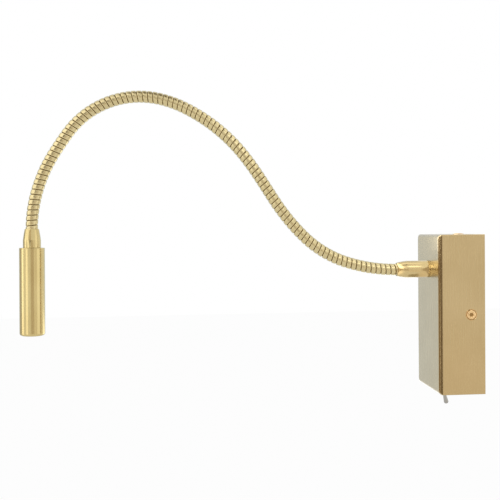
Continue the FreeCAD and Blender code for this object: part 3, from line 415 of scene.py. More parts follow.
def rounded(corners: Sequence[Corner], closed: bool, steps: int = 6) -> Array:
    """An outline with round corners.

    A corner of radius q becomes an arc tangent to both of its runs. The arc's middle lies q over the sine
    of half the corner from it, on the line that halves the corner. A further point on each run just
    outside the arc keeps the flats flat in shading.

    Args:
        corners: Radius, height and rounding of each corner, in order.
        closed: Whether the last corner joins the first.
        steps: Runs in each arc.

    Returns:
        One row of radius and height for each point.
    """
    pieces: list[Array] = []
    for index, (radius, height, rounding) in enumerate(corners):
        here = np.array([radius, height])
        if rounding == 0:
            pieces.append(here[None])
            continue
        back = unit(np.array(corners[index - 1][:2]) - here)
        ahead = unit(np.array(corners[(index + 1) % len(corners)][:2]) - here)
        half = math.acos(float(np.clip(back @ ahead, -1, 1))) / 2
        reach = rounding / math.tan(half)
        middle = here + unit(back + ahead) * rounding / math.sin(half)
        sweep = math.pi - 2 * half
        share = np.linspace(0, 1, steps + 1)[:, None]
        start = here + back * reach - middle
        end = here + ahead * reach - middle
        arc = (np.sin((1 - share) * sweep) * start + np.sin(share * sweep) * end) / math.sin(sweep)
        pieces.append((here + back * reach * FLAT_MARGIN)[None])
        pieces.append(middle + arc)
        pieces.append((here + ahead * reach * FLAT_MARGIN)[None])
    outline = np.concatenate(pieces)
    return np.concatenate([outline, outline[:1]]) if closed else outline


def curve_between(start: Pair, end: Pair, swell: float, steps: int) -> list[Corner]:
    """The points of a swelling run between two points, without its ends.

    The run leaves the straight line by swell times the sine of its way along, at a right angle to it.

    Args:
        start: Radius and height where it starts.
        end: Radius and height where it ends.
        swell: How far the middle lies outside the straight line.
        steps: Number of runs.

    Returns:
        Corners without rounding.
    """
    a, b = np.array(start), np.array(end)
    share = np.linspace(0, 1, steps + 1)[1:-1, None]
    along = unit(b - a)
    outside = np.array([along[1], -along[0]])
    points = a + (b - a) * share + outside * swell * np.sin(math.pi * share)
    return [(float(radius), float(height), 0.0) for radius, height in points]


def axes_for(direction: Array) -> Array:
    """Three unit vectors as rows, of which the last is the direction.

    Args:
        direction: The direction, of any length.

    Returns:
        Two vectors across the direction, and the direction.
    """
    along = unit(direction)
    across = np.cross(along, RIGHT)
    side = unit(across) if np.linalg.norm(across) > NEARLY_PARALLEL else unit(np.cross(along, UP))
    return np.stack([np.cross(side, along), side, along])


def turned_points(turn: Array, radius: Array, height: Array) -> Array:
    """Points around the Z axis: radius times (cos turn, sin turn), and the height.

    Args:
        turn: The angle of each row.
        radius: One row for each angle, one column for each point of the outline.
        height: The same.

    Returns:
        One row of x, y, z for each point.
    """
    across = (radius * np.cos(turn)[:, None], radius * np.sin(turn)[:, None])
    return np.stack([*across, height], axis=-1).reshape(-1, 3)


def lathe(
    outline: Array, finish: Finish, origin: Array, direction: Array, segments: int = 96,
    flats: Array | None = None,
) -> Surface:
    """A surface turned about an axis.

    A point at turn a is the origin plus radius times (cos a across, sin a across) plus height along the
    axis. Where an outline point has a share of flatness, its radius grows to the side of a hexagon around
    the circle of its radius: the radius over the cosine of the angle to the nearest middle of a side.

    Args:
        outline: One row of radius and height for each point.
        finish: The surface's finish.
        origin: Where radius and height are zero.
        direction: The way that height grows.
        segments: Number of steps in a turn.
        flats: For each outline point, 1 for a hexagon, 0 for a circle, or None for a round piece.

    Returns:
        The surface, closed where the outline closes or touches the axis.
    """
    turn = np.linspace(0, 2 * math.pi, segments, endpoint=False)
    sixth = math.pi / 3
    off_flat = (turn + sixth / 2) % sixth - sixth / 2
    hexagonal = 1 / np.cos(off_flat)
    share = np.zeros(len(outline)) if flats is None else flats
    radius = outline[None, :, 0] * (1 + share[None] * (hexagonal[:, None] - 1))
    height = np.broadcast_to(outline[None, :, 1], radius.shape)
    points = turned_points(turn, radius, height) @ axes_for(direction) + origin
    return Surface(points, grid_quads(segments, len(outline), True, False), finish)


def put_in_scene(name: str, data: bpy.types.ID) -> bpy.types.Object:
    """A mesh, lamp or camera as an object in the scene."""
    thing = bpy.data.objects.new(name, data)
    bpy.context.scene.collection.objects.link(thing)
    return thing


def build(name: str, surfaces: Sequence[Surface], sharp_deg: float = SHARP_DEG) -> bpy.types.Object:
    """Makes one piece of one or more closed surfaces.

    Args:
        name: The piece's name.
        surfaces: Its surfaces.
        sharp_deg: Edges that turn by more than this stay sharp.

    Returns:
        The piece's object, at the origin.
    """
    firsts = np.cumsum([0] + [len(surface.points) for surface in surfaces[:-1]])
    points = np.concatenate([surface.points for surface in surfaces]) * MM
    quads = np.concatenate([surface.quads + first for surface, first in zip(surfaces, firsts)])
    mesh = bpy.data.meshes.new(name)
    mesh.vertices.add(len(points))
    mesh.vertices.foreach_set("co", points.astype(np.float32).ravel())
    mesh.loops.add(quads.size)
    mesh.loops.foreach_set("vertex_index", quads.astype(np.int32).ravel())
    mesh.polygons.add(len(quads))
    mesh.polygons.foreach_set("loop_start", np.arange(0, quads.size, 4, dtype=np.int32))
    mesh.update(calc_edges=True)
    finishes = list(dict.fromkeys(surface.finish for surface in surfaces))
    for finish in finishes:
        mesh.materials.append(finish.material())
    numbers = [np.full(len(surface.quads), finishes.index(surface.finish)) for surface in surfaces]
    mesh.polygons.foreach_set("material_index", np.concatenate(numbers).astype(np.int32))
    if any(surface.strip_map is not None for surface in surfaces):
        maps = [
            np.zeros((len(surface.points), 2)) if surface.strip_map is None else surface.strip_map
            for surface in surfaces
        ]
        layer = mesh.uv_layers.new(name="strip")
        layer.data.foreach_set("uv", np.concatenate(maps)[quads.ravel()].astype(np.float32).ravel())
    work = bmesh.new()
    work.from_mesh(mesh)
    bmesh.ops.remove_doubles(work, verts=work.verts, dist=MERGE_DISTANCE)
    bmesh.ops.recalc_face_normals(work, faces=work.faces)
    work.to_mesh(mesh)
    work.free()
    mesh.polygons.foreach_set("use_smooth", np.ones(len(mesh.polygons), dtype=bool))
    mesh.set_sharp_from_angle(angle=math.radians(sharp_deg))
    return put_in_scene(name, mesh)


def middle_of(node: str) -> Array:
    """The middle of a CAD node's box, in millimetres."""
    low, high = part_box(node)
    return np.array((low + high) / 2) / MM


def corners_of(node: str) -> tuple[Array, Array]:
    """The lowest and highest corner of a CAD node, in millimetres."""
    low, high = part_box(node)
    return np.array(low) / MM, np.array(high) / MM


def fit(piece: bpy.types.Object, body: str, slot: str, *nodes: str) -> None:
    """Lets a piece ride on a body and stand for CAD nodes.

    Args:
        piece: The piece.
        body: The body it rides on.
        slot: The record's slot; not used.
        nodes: The CAD nodes that it stands for.
    """
    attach(piece, body)
    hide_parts(*nodes)
    LOG.info("%s rides on %s: %d faces", piece.name, body, len(piece.data.polygons))


# --- wall box -------------------------------------------------------------------------------------
@dataclass
class CoverScrew:
    """A low domed screw with a hexagon socket in a thin collar, with the gap between them darkened by painted
    shade.

    Attributes:
        radius: Radius of its head.
        height: Height of its head.
        shank: Radius and length of its thread.
        shank_bevel: Bevel at the end of the thread.
        flats: Half the hexagon socket's width across its flats.
        depth: Depth of the socket.
        drill_share: Radius of the drill's point, as a share of half the flats.
        drill_depth: How far that point goes below the socket's floor, at its middle and at its edge.
        foot_share: Half the flats at the socket's floor, as a share of what it is above.
        lead_in: Below the top, where the flats begin to open and where they end.
        lead_share: Half the flats where they end, as a share of what it is below.
        mouth_share: Radius of the socket's round mouth, as a share of half the flats.
        mouth_drop: From the top down to the mouth.
        mouth_ease: From the mouth out to the dome.
        dome_start: Where the dome's first point lies, as a share of the way out.
        dome_points: Points along the dome.
        dome_power: How the dome falls: the drop grows with this power of the way out.
        dome_margin: From the end of the dome to the gap.
        brow_share: Height of the dome's outer edge, as a share of the head's.
        brow_step: Width and height of the first of two steps from that edge down into the gap.
        ease: Bevel of the collar and of the socket's floor.
        gap: Inner and outer radius of the gap around the dome.
        gap_floor: Height of the gap's floor.
        gap_plate: Heights of the underside and of the top of the dark ring in the gap, which is painted shade.
        socket_plate: Depth and thickness of the dark disc in the socket, which is painted shade.
        plate_share: Radius of that disc, as a share of half the flats.
        collar: Height of the thin collar around the gap.
        segments: Steps around the screw.
        plate_segments: Steps around the disc.
    """

    radius: float = 4.5
    height: float = 0.8
    shank: Pair = (2.5, 6.0)
    shank_bevel: float = 0.5
    flats: float = 1.5
    depth: float = 2.0
    drill_share: float = 0.6
    drill_depth: Pair = (0.3, 0.1)
    foot_share: float = 0.96
    lead_in: Pair = (0.42, 0.3)
    lead_share: float = 1.02
    mouth_share: float = 1.28
    mouth_drop: float = 0.05
    mouth_ease: float = 0.1
    dome_start: float = 0.08
    dome_points: int = 9
    dome_power: float = 2.2
    dome_margin: float = 0.15
    brow_share: float = 0.62
    brow_step: Pair = (0.04, 0.1)
    ease: float = 0.08
    gap: Pair = (3.65, 4.25)
    gap_floor: float = 0.06
    gap_plate: Pair = (0.07, 0.12)
    socket_plate: Pair = (0.75, 0.1)
    plate_share: float = 0.97
    collar: float = 0.4
    segments: int = 72
    plate_segments: int = 24

    def surfaces(self, place: Array, outwards: Array) -> list[Surface]:
        """The screw where it stands.

        Args:
            place: The middle of the head's underside.
            outwards: The way the head stands out.

        Returns:
            The screw, and the dark floors of its gap and of its socket, each closed.
        """
        flat, top, rim = self.flats, self.height, self.radius
        floor = top - self.depth
        point, point_edge = self.drill_depth
        opens, ends = self.lead_in
        mouth = flat * self.mouth_share
        brow = self.brow_share * top
        step_in, step_down = self.brow_step
        inner, outer = self.gap
        collar, ground, ease = self.collar, self.gap_floor, self.ease
        shank, length = self.shank
        # Radius, height, and 1 where the profile is a hexagon: first the socket, from its floor up.
        rows = [
            (0.0, floor - point, 0), (flat * self.drill_share, floor - point_edge, 0),
            (flat * self.foot_share, floor, 1), (flat, floor + ease, 1), (flat, top - opens, 1),
            (flat * self.lead_share, top - ends, 1),
            (mouth, top - self.mouth_drop, 0), (mouth + self.mouth_ease, top, 0),
        ]
        across = inner - self.dome_margin - mouth - self.mouth_ease
        for way_out in np.linspace(self.dome_start, 1, self.dome_points):
            drop = (top - brow) * way_out**self.dome_power
            rows.append((mouth + self.mouth_ease + across * way_out, top - drop, 0))
        # Then down into the gap, over the collar and along the thread.
        rows += [
            (inner - step_in, brow - step_down, 0), (inner, brow - 2 * step_down, 0),
            (inner, ground, 0), (outer, ground, 0), (outer, collar - ease, 0), (outer + ease, collar, 0),
            (rim - ease, collar, 0), (rim, collar - ease, 0), (rim, 0.0, 0), (shank, 0.0, 0),
            (shank, -length + self.shank_bevel, 0), (shank - self.shank_bevel, -length, 0),
            (0.0, -length, 0),
        ]
        table = np.array(rows, dtype=float)
        screw = lathe(table[:, :2], SCREW_BRASS, place, outwards, self.segments, flats=table[:, 2])
        # A dark ring on the gap's floor and a dark disc in the socket, both painted shade for the dark recesses.
        low, high = self.gap_plate
        ring = np.array([(inner, low), (outer, low), (outer, high), (inner, high), (inner, low)])
        below, thickness = self.socket_plate
        edge = flat * self.plate_share
        high = top - below
        low = high - thickness
        disc = np.array([(0.0, low), (edge, low), (edge, high), (0.0, high)])
        return [
            screw,
            lathe(ring, SCREW_PAINTED_SHADE, place, outwards, self.segments),
            lathe(disc, SCREW_PAINTED_SHADE, place, outwards, self.plate_segments),
        ]


@dataclass
class WallBox:
    """The brass box on the wall: its cover and the screws that hold it.

    Attributes:
        wall: Thickness of the cover.
        front_round: Radius of the four edges of the front face.
        round_steps: Steps around that radius.
        side_ease: Radius of the four edges between the wall and the front.
        corner_round: What that radius grows to at the front's corners.
        corner_points: Points around each of the four side edges.
        rim_ease: Radius of both edges of the rim that lies on the wall.
        side_support: From a side edge's arc to the point that keeps the side flat in shading.
        centre_margin: From the front's middle line to the outline before it.
        screw: The screw that is used four times.
        from_wall: Screw axis to wall.
        low: The cover's lowest corner.
        high: The cover's highest corner.
    """

    wall: float = 1.5
    front_round: float = 3.0
    round_steps: int = 8
    side_ease: float = 0.4
    corner_round: float = 2.2
    corner_points: int = 5
    rim_ease: float = 0.2
    side_support: float = 0.6
    centre_margin: float = 1.0
    screw: CoverScrew = field(default_factory=CoverScrew)
    from_wall: float = 11.4
    low: Array = field(default_factory=lambda: corners_of("cover")[0])
    high: Array = field(default_factory=lambda: corners_of("cover")[1])

    def outline(self, inset: Array, ease: Array) -> Array:
        """The box's outline in the XZ plane, once for each inset.

        Each corner is a quarter circle of radius ease about a middle that lies inset plus ease inside the
        box's corner, with a point before and after it that keeps the sides flat.

        Args:
            inset: How far inside the box's sides each outline runs.
            ease: The radius of its corners.

        Returns:
            An array of outlines by points by (x, z).
        """
        half_x, half_z = self.high[0], self.high[2]
        quarter = np.linspace(0, math.pi / 2, self.corner_points)
        pieces = []
        for start, (side_x, side_z) in enumerate([(1, 1), (-1, 1), (-1, -1), (1, -1)]):
            angle = quarter + start * math.pi / 2
            middle_x = side_x * (half_x - inset - ease)[:, None]
            middle_z = side_z * (half_z - inset - ease)[:, None]
            x = middle_x + ease[:, None] * np.cos(angle)
            z = middle_z + ease[:, None] * np.sin(angle)
            pull = np.minimum(self.side_support, np.minimum(abs(middle_x), abs(middle_z)))
            before_x = x[:, :1] + pull * math.sin(angle[0])
            before_z = z[:, :1] - pull * math.cos(angle[0])
            after_x = x[:, -1:] - pull * math.sin(angle[-1])
            after_z = z[:, -1:] + pull * math.cos(angle[-1])
            runs = [(before_x, before_z), (x, z), (after_x, after_z)]
            pieces += [np.stack(run, -1) for run in runs]
        return np.concatenate(pieces, axis=1)

    def cover_surface(self) -> Surface:
        """The open box: a profile from the middle of the front, round its edge to the wall and back inside.

        The radius of its four side edges grows with the square of how far the profile has gone round the
        front's edge, so that the front's corners are rounder than the sides.

        Returns:
            A closed surface whose two flat ends close on the box's middle line.
        """
        front = self.low[1]
        depth = -front
        middle = self.high[0]
        corners = [
            (middle, 0.0, 0.0),
            (middle - self.centre_margin, 0.0, 0.0),
            (0.0, 0.0, self.front_round),
            (0.0, depth, self.rim_ease),
            (self.wall, depth, self.rim_ease),
            (self.wall, self.wall, self.front_round - self.wall),
            (middle - self.centre_margin, self.wall, 0.0),
            (middle, self.wall, 0.0),
        ]
        profile = rounded(corners, closed=False, steps=self.round_steps)
        inset = profile[:, 0]
        gone_round = np.clip(1 - profile[:, 1] / self.front_round, 0, 1)
        ease = self.side_ease + (self.corner_round - self.side_ease) * gone_round**2
        ease = np.minimum(ease, self.high[0] - inset)
        outlines = self.outline(inset, ease)
        y = np.broadcast_to((front + profile[:, 1])[:, None], outlines.shape[:2])
        points = np.stack([outlines[..., 0], y, outlines[..., 1]], axis=-1)
        rows, columns = y.shape
        return Surface(points.reshape(-1, 3), grid_quads(rows, columns, False, True), BOX_BRASS)

    def build(self) -> None:
        """Builds the cover and its four screws."""
        cover = build("box_cover", [self.cover_surface()])
        fit(cover, "wall_box", "brushed_brass", "cover")
        half_x, half_z = self.high[0], self.high[2]
        y = -self.from_wall
        places = [
            (np.array([half_x, y, 0]), RIGHT),
            (np.array([-half_x, y, 0]), -RIGHT),
            (np.array([0, y, half_z]), UP),
            (np.array([0, y, -half_z]), DOWN),
        ]
        surfaces = [surface for place, way in places for surface in self.screw.surfaces(place, way)]
        fit(build("box_screws", surfaces), "wall_box", "polished_brass", "cover_screws")


# --- switch ---------------------------------------------------------------------------------------
@dataclass
class ToggleSwitch:
    """What shows of the switch under the box but for its washer: bushing, nut and bat lever.

    Attributes:
        bushing_radius: Radius of the bushing's thread.
        bushing_bore: Radius of its bore.
        bushing_segments: Steps around the bushing.
        rim_ease: Bevel at both ends of the bore.
        thread_pitch: From one turn of the thread to the next.
        thread_depth: Depth of the thread.
        thread_runout: Length over which the thread tapers out at each end.
        steps_per_pitch: Steps along one turn of the thread.
        nut_flats: Half the nut's width across its flats.
        nut_gap: Thread to the nut's bore.
        nut_bevel: Bevel at both ends of the nut's bore.
        nut_chamfer: Points of its chamfer: share of half the flats, height and share of a hexagon.
        nut_sharp_deg: Its edges that turn by more than this stay sharp.
        nut_segments: Steps around the nut.
        lever_tilt_deg: How far the lever leans to the wall at rest.
        lever_root: Radius where the lever leaves its ball.
        lever_tip: Radius of its rounded tip.
        lever_length: Pivot to tip.
        lever_segments: Steps around the lever.
        ball_radius: Radius of the ball it tips on.
        ball_points: Points along the ball's outline.
        waist: Start and end of the waist below the ball, as shares of the ball's radius.
        waist_growth: How much the waist's radius grows.
        tail: Radius and length of the tail inside the switch.
        tail_bevel: Bevel at the end of the tail.
        tip_start_deg: Where the tip's arc starts, from the lever's axis.
        tip_points: Points along that arc.
    """

    bushing_radius: float = 3.0
    bushing_bore: float = 2.2
    bushing_segments: int = 64
    rim_ease: float = 0.15
    thread_pitch: float = 0.6
    thread_depth: float = 0.16
    thread_runout: float = 0.5
    steps_per_pitch: int = 8
    nut_flats: float = 4.0
    nut_gap: float = 0.05
    nut_bevel: float = 0.25
    nut_chamfer: tuple[Corner, ...] = ((0.97, 0.0, 0), (0.985, 0.05, 0.35), (1.0, 0.3, 0.85), (1.0, 0.36, 1))
    nut_sharp_deg: float = 25.0
    nut_segments: int = 96
    lever_tilt_deg: float = 12.5
    lever_root: float = 1.25
    lever_tip: float = 2.0
    lever_length: float = 10.8
    lever_segments: int = 64
    ball_radius: float = 2.0
    ball_points: int = 14
    waist: Pair = (0.9, 1.1)
    waist_growth: float = 0.05
    tail: Pair = (0.7, 5.3)
    tail_bevel: float = 0.1
    tip_start_deg: float = 85.0
    tip_points: int = 10

    def bushing_surface(self) -> Surface:
        """The threaded bushing.

        The thread is a helix: the radius falls by the thread's depth times how far the height less the
        turn's share of the pitch lies from the nearest crest, and the ends taper it out.

        Returns:
            The closed surface.
        """
        low, high = corners_of("switch_bushing")
        length = high[2] - low[2]
        middle = middle_of("switch_bushing")
        segments = self.bushing_segments
        turn = np.linspace(0, 2 * math.pi, segments, endpoint=False)
        height = np.linspace(0, length, int(length / self.thread_pitch * self.steps_per_pitch) + 1)
        phase = height[None] / self.thread_pitch - turn[:, None] / (2 * math.pi)
        trough = abs(phase - np.round(phase)) * 2
        near_end = np.minimum(height, length - height)[None]
        taper = np.clip(1 - near_end / self.thread_runout, 0, 1)
        outer = self.bushing_radius - self.thread_depth * np.maximum(trough, taper)
        bore = np.full((segments, 1), self.bushing_bore)
        rim = np.full((segments, 1), self.bushing_bore + self.rim_ease)
        radius = np.concatenate([rim, outer, rim, bore, bore, rim], axis=1)
        levels = np.concatenate([[0.0], height, [length, length - self.rim_ease, self.rim_ease, 0.0]])
        heights = np.broadcast_to(levels[None], radius.shape)
        points = turned_points(turn, radius, heights) + np.array([middle[0], middle[1], low[2]])
        return Surface(points, grid_quads(segments, radius.shape[1], True, False), NICKEL_PAINTED_DARK)

    def nut_surface(self) -> Surface:
        """The hexagon nut, its corners cut back by a cone at both faces."""
        low, high = corners_of("switch_nut")
        middle = middle_of("switch_nut")
        thick = high[2] - low[2]
        bore = self.bushing_radius + self.nut_gap
        # Radius, height, and the share of a hexagon, from the bore to half way up a side.
        lower = [(bore, self.nut_bevel, 0), (bore + self.nut_bevel, 0.0, 0)]
        lower += [(self.nut_flats * share, height, hexagon) for share, height, hexagon in self.nut_chamfer]
        upper = [(radius, thick - height, hexagon) for radius, height, hexagon in reversed(lower)]
        table = np.array(lower + upper + lower[:1], dtype=float)
        origin = np.array([middle[0], middle[1], low[2]])
        return lathe(table[:, :2], NICKEL_PAINTED_DARK, origin, UP, self.nut_segments, flats=table[:, 2])

    def lever_surface(self) -> Surface:
        """The bat lever: tail, ball, waist and a handle that widens to a round tip.

        The ball and the tip are circular arcs, radius times the sine and cosine of an angle.

        Returns:
            The closed surface.
        """
        pivot = next(joint for joint in frame["joints"] if joint["name"] == "switch_throw")
        tilt = math.radians(self.lever_tilt_deg)
        direction = np.array([0, math.sin(tilt), -math.cos(tilt)])
        tail, length = self.tail
        bevel = self.tail_bevel
        root, grown = self.lever_root, self.lever_root + self.waist_growth
        waist_start, waist_end = self.waist
        start = math.pi - math.asin(tail / self.ball_radius)
        end = math.asin(root / self.ball_radius)
        ball = np.linspace(start, end, self.ball_points)
        tip_middle = self.lever_length - self.lever_tip
        tip = np.linspace(math.radians(self.tip_start_deg), 0, self.tip_points)
        outline = np.concatenate([
            [(0.0, -length), (tail - bevel, -length), (tail, -length + bevel)],
            np.stack([self.ball_radius * np.sin(ball), self.ball_radius * np.cos(ball)], -1),
            [(root, self.ball_radius * waist_start), (grown, self.ball_radius * waist_end)],
            np.stack([self.lever_tip * np.sin(tip), tip_middle + self.lever_tip * np.cos(tip)], -1),
        ])
        outline[[0, -1], 0] = 0
        return lathe(outline, NICKEL_PAINTED_DARK, np.array(pivot["pos_m"]) / MM, direction, self.lever_segments)

    def build(self) -> None:
        """Builds what shows of the switch."""
        fit(build("switch_thread", [self.bushing_surface()]), "wall_box", "nickel", "switch_bushing")
        nut = build("switch_hexagon", [self.nut_surface()], self.nut_sharp_deg)
        fit(nut, "wall_box", "nickel", "switch_nut")
        fit(build("bat_lever", [self.lever_surface()]), "lever", "nickel", "switch_lever")


# --- sleeves at both ends of the arm --------------------------------------------------------------
@dataclass
class Sleeve:
    """A brass sleeve around one end of the arm, straight and then tapered to a narrow mouth.

    Attributes:
        name: The piece's name.
        node: The CAD node that it stands for.
        body: The body it rides on.
        length: Base to mouth.
        finish: Its finish.
        radius: Radius of the straight part.
        base_ease: Radius around its base.
        taper: Length of the tapered part.
        taper_steps: Steps along the taper.
        tip_radius: Radius outside the mouth.
        mouth_radius: Radius of the mouth.
        mouth_ease: Bevel of the mouth.
        lip: Width and height of the round edge outside the mouth.
        lip_point: How far in and below the top a point on that edge lies.
        bore_radius: Radius of the bore below the mouth.
        neck: Length of the mouth.
        swell: How far the taper bulges outside a straight cone.
        segments: Steps around the sleeve.
    """

    name: str
    node: str
    body: str
    length: float
    finish: Finish
    radius: float = 7.0
    base_ease: float = 0.15
    taper: float = 9.0
    taper_steps: int = 14
    tip_radius: float = 5.6
    mouth_radius: float = 5.0
    mouth_ease: float = 0.12
    lip: Pair = (0.25, 0.3)
    lip_point: Pair = (0.1, 0.08)
    bore_radius: float = 5.4
    neck: float = 2.5
    swell: float = 0.2
    segments: int = 128

    def build(self, base: Array, direction: Array) -> None:
        """Builds the sleeve.

        Args:
            base: The middle of its base.
            direction: The way from its base to its mouth.
        """
        tip, mouth, ease, length = self.tip_radius, self.mouth_radius, self.mouth_ease, self.length
        shoulder = (self.radius, length - self.taper)
        lip_width, lip_height = self.lip
        lip_in, lip_down = self.lip_point
        lip = (tip, length - lip_height)
        corners: list[Corner] = [
            (self.bore_radius, 0, 0), (self.radius, 0, self.base_ease), (*shoulder, 0),
            *curve_between(shoulder, lip, self.swell, self.taper_steps),
            (*lip, 0), (tip - lip_in, length - lip_down, 0), (tip - lip_width, length, 0),
            (mouth + ease, length, 0), (mouth, length - ease, 0),
            (mouth, length - self.neck, 0), (self.bore_radius, length - self.neck, 0),
        ]
        outline = rounded(corners, closed=True)
        sleeve = build(self.name, [lathe(outline, self.finish, base, direction, self.segments)])
        fit(sleeve, self.body, "brushed_brass", self.node)


# --- gooseneck ------------------------------------------------------------------------------------
@dataclass
class Gooseneck:
    """The wound arm: a brass strip wound side by side around a tube, in one piece for each joint.

    Attributes:
        radius: Outside radius.
        pitch: From one turn to the next.
        turns_per_link: Turns between two joints.
        groove: Gap between two turns.
        strip_depth: Outside surface to the inside of the strip.
        squareness: Power of the curve across the strip, 2 for a round one, more for a flatter one.
        core_radius: Outside radius of the tube.
        bore_radius: Inside radius of the tube.
        core_segments: Steps around the tube.
        steps_per_turn: Steps around a turn.
        steps_across: Steps across the strip.
        start_turn: Where the first turn starts, as a share of a turn.
        sharp_deg: Edges that turn by more than this stay sharp.
        bend_reach: Not used; how far each side of a joint the arm would bend.
        drawn_in: Radius of the winding where it is drawn into a sleeve.
        drawn_over: Length over which it is drawn in.
        neck: Length of a sleeve's mouth.
        hidden: How much of the winding goes on inside a sleeve.
    """

    radius: float = 4.8
    pitch: float = 4.15
    turns_per_link: int = 5
    groove: float = 0.5
    strip_depth: float = 0.8
    squareness: float = 4.6
    core_radius: float = 3.95
    bore_radius: float = 1.7
    core_segments: int = 32
    steps_per_turn: int = 72
    steps_across: int = 14
    start_turn: float = 0.1
    sharp_deg: float = 60.0
    bend_reach: float = 7.3
    drawn_in: float = 4.4
    drawn_over: float = 1.5
    neck: float = 2.5
    hidden: float = 8.0

    def __post_init__(self) -> None:
        """Reads the joints and works out where each link starts and which way it heads."""
        wanted = [joint for joint in frame["joints"] if joint["name"].startswith(("bend_", "sway_"))]
        self.joints = sorted(wanted, key=lambda joint: joint["name"].split("_")[1])
        low, _ = corners_of("root_ferrule")
        root = middle_of("root_ferrule")
        plug, barrel = middle_of("head_plug"), middle_of("head_barrel")
        self.head_way = unit(barrel - plug)
        self.head_top = plug - self.head_way * Head.plug_thickness / 2
        end = self.head_top - self.head_way * Head.ferrule_length
        places = [[root[0], low[1], root[2]]]
        places += [list(np.array(joint["pos_m"]) / MM) for joint in self.joints]
        self.places = np.array(places + [list(end)])
        self.link_length = self.pitch * self.turns_per_link
        chord = np.diff(self.places, axis=0)
        chord_angle = np.arctan2(chord[:, 2], -chord[:, 1])
        headings = [0.0]
        for angle in chord_angle:
            headings.append(2 * float(angle) - headings[-1])
        self.headings = np.array(headings)
        self.turns = np.diff(self.headings)
        self.total = self.link_length * len(self.turns)

    def line(self, along: Array) -> tuple[Array, Array]:
        """The arm's middle line and heading.

        Inside a link that turns by t over its length, the point a share f along it lies at the link's start
        plus length times f times sinc(t f / 2), in the direction of the start's heading plus t f / 2. Past
        both ends the line runs straight on.

        Args:
            along: Distances along the line from the root sleeve's mouth.

        Returns:
            The points, one row each, and the headings in radians.
        """
        last = len(self.turns) - 1
        link = np.clip((along // self.link_length).astype(int), 0, last)
        share = along / self.link_length - link
        inside = np.clip(share, 0, 1)
        turned = self.turns[link] * inside
        reach = self.link_length * inside * np.sinc(turned / (2 * math.pi))
        heading = self.headings[link]
        points = self.places[link] + reach[:, None] * self.direction(heading + turned / 2)
        beyond = (share - inside) * self.link_length
        heading = heading + turned
        return points + beyond[:, None] * self.direction(heading), heading

    @staticmethod
    def direction(heading: Array) -> Array:
        """The direction of a heading: 0 straight out from the wall, a quarter turn straight up."""
        return np.stack([np.zeros_like(heading), -np.cos(heading), np.sin(heading)], axis=-1)

    def around(self, along: Array, turn: Array, radius: Array) -> Array:
        """Points around the middle line.

        A point is the line's point plus radius times (cosine of the turn times the way up, plus sine of
        the turn times X).

        Args:
            along: Distance along the line of each point.
            turn: Angle around it, from the top towards X.
            radius: Distance from it.

        Returns:
            The points, one row each.
        """
        middle, heading = self.line(along)
        up = self.direction(heading + math.pi / 2)
        spoke = np.cos(turn)[:, None] * up + np.sin(turn)[:, None] * RIGHT
        return middle + radius[:, None] * spoke

    def drawn(self, along: Array, radius: Array) -> Array:
        """The radius, drawn in where the winding has passed the mouth of a sleeve."""
        inside = np.maximum(-along, along - self.total) - self.neck
        share = np.clip(inside / self.drawn_over, 0, 1)
        return radius * (1 - share * (1 - self.drawn_in / self.radius))

    def strip(self, first_turn: float, last_turn: float) -> Surface:
        """The wound strip between two turn numbers, closed all round.

        Across the strip the surface is a superellipse: the offset is half the width times the cosine of t,
        and the height the depth times its sine, each to the power of 2 over the squareness. Along it the
        section follows a helix: one pitch along the line for each turn, going round against X.

        Args:
            first_turn: Where it starts.
            last_turn: Where it ends.

        Returns:
            The closed surface with its own map: millimetres along, millimetres across.
        """
        steps = int(round((last_turn - first_turn) * self.steps_per_turn)) + 1
        wound = np.linspace(first_turn, last_turn, steps)
        t = np.linspace(0, math.pi, self.steps_across + 1)
        power = 2 / self.squareness
        half_width = (self.pitch - self.groove) / 2
        offset = half_width * np.sign(np.cos(t)) * abs(np.cos(t)) ** power
        height = self.radius - self.strip_depth * (1 - np.abs(np.sin(t)) ** power)
        caps = np.concatenate([[0], np.arange(steps), [steps - 1]])
        is_cap = np.zeros(steps + 2, dtype=bool)
        is_cap[[0, -1]] = True
        along = (self.pitch * (wound[caps] + self.start_turn))[:, None] + offset[None] * ~is_cap[:, None]
        rise = np.where(is_cap[:, None], self.radius - self.strip_depth / 2, height[None])
        turn = np.broadcast_to(-2 * math.pi * wound[caps][:, None], along.shape)
        radius = self.drawn(along.ravel(), rise.ravel())
        points = self.around(along.ravel(), turn.ravel(), radius)
        length = 2 * math.pi * self.radius * wound[caps][:, None]
        strip_map = np.stack([np.broadcast_to(way, along.shape) for way in (length, offset)], -1)
        quads = grid_quads(steps + 2, len(t), False, True)
        return Surface(points, quads, STRIP_BRASS, strip_map.reshape(-1, 2))

    def core(self, start: float, end: float) -> Surface:
        """The tube inside the strip between two distances, closed at both ends.

        Args:
            start: Where it starts.
            end: Where it ends.

        Returns:
            The closed surface, with a row of points for about each millimetre.
        """
        rows = int(end - start) + 2
        length = np.linspace(start, end, rows)
        turn = np.linspace(0, 2 * math.pi, self.core_segments, endpoint=False)
        profile_along = np.concatenate([length, length[::-1]])
        profile_radius = np.concatenate([np.full(rows, self.core_radius), np.full(rows, self.bore_radius)])
        along = np.repeat(profile_along, len(turn))
        radius = np.repeat(profile_radius, len(turn))
        points = self.around(along, np.tile(turn, 2 * rows), radius)
        # The tube is painted dark brown, as the shade in the grooves.
        return Surface(points, grid_quads(2 * rows, len(turn), True, True), CORE_BRASS_PAINTED_SHADE)

    def piece(self, name: str, start: float, end: float) -> bpy.types.Object:
        """One piece of the arm between two distances along it."""
        turns = (start / self.pitch - self.start_turn, end / self.pitch - self.start_turn)
        return build(name, [self.strip(*turns), self.core(start, end)], self.sharp_deg)

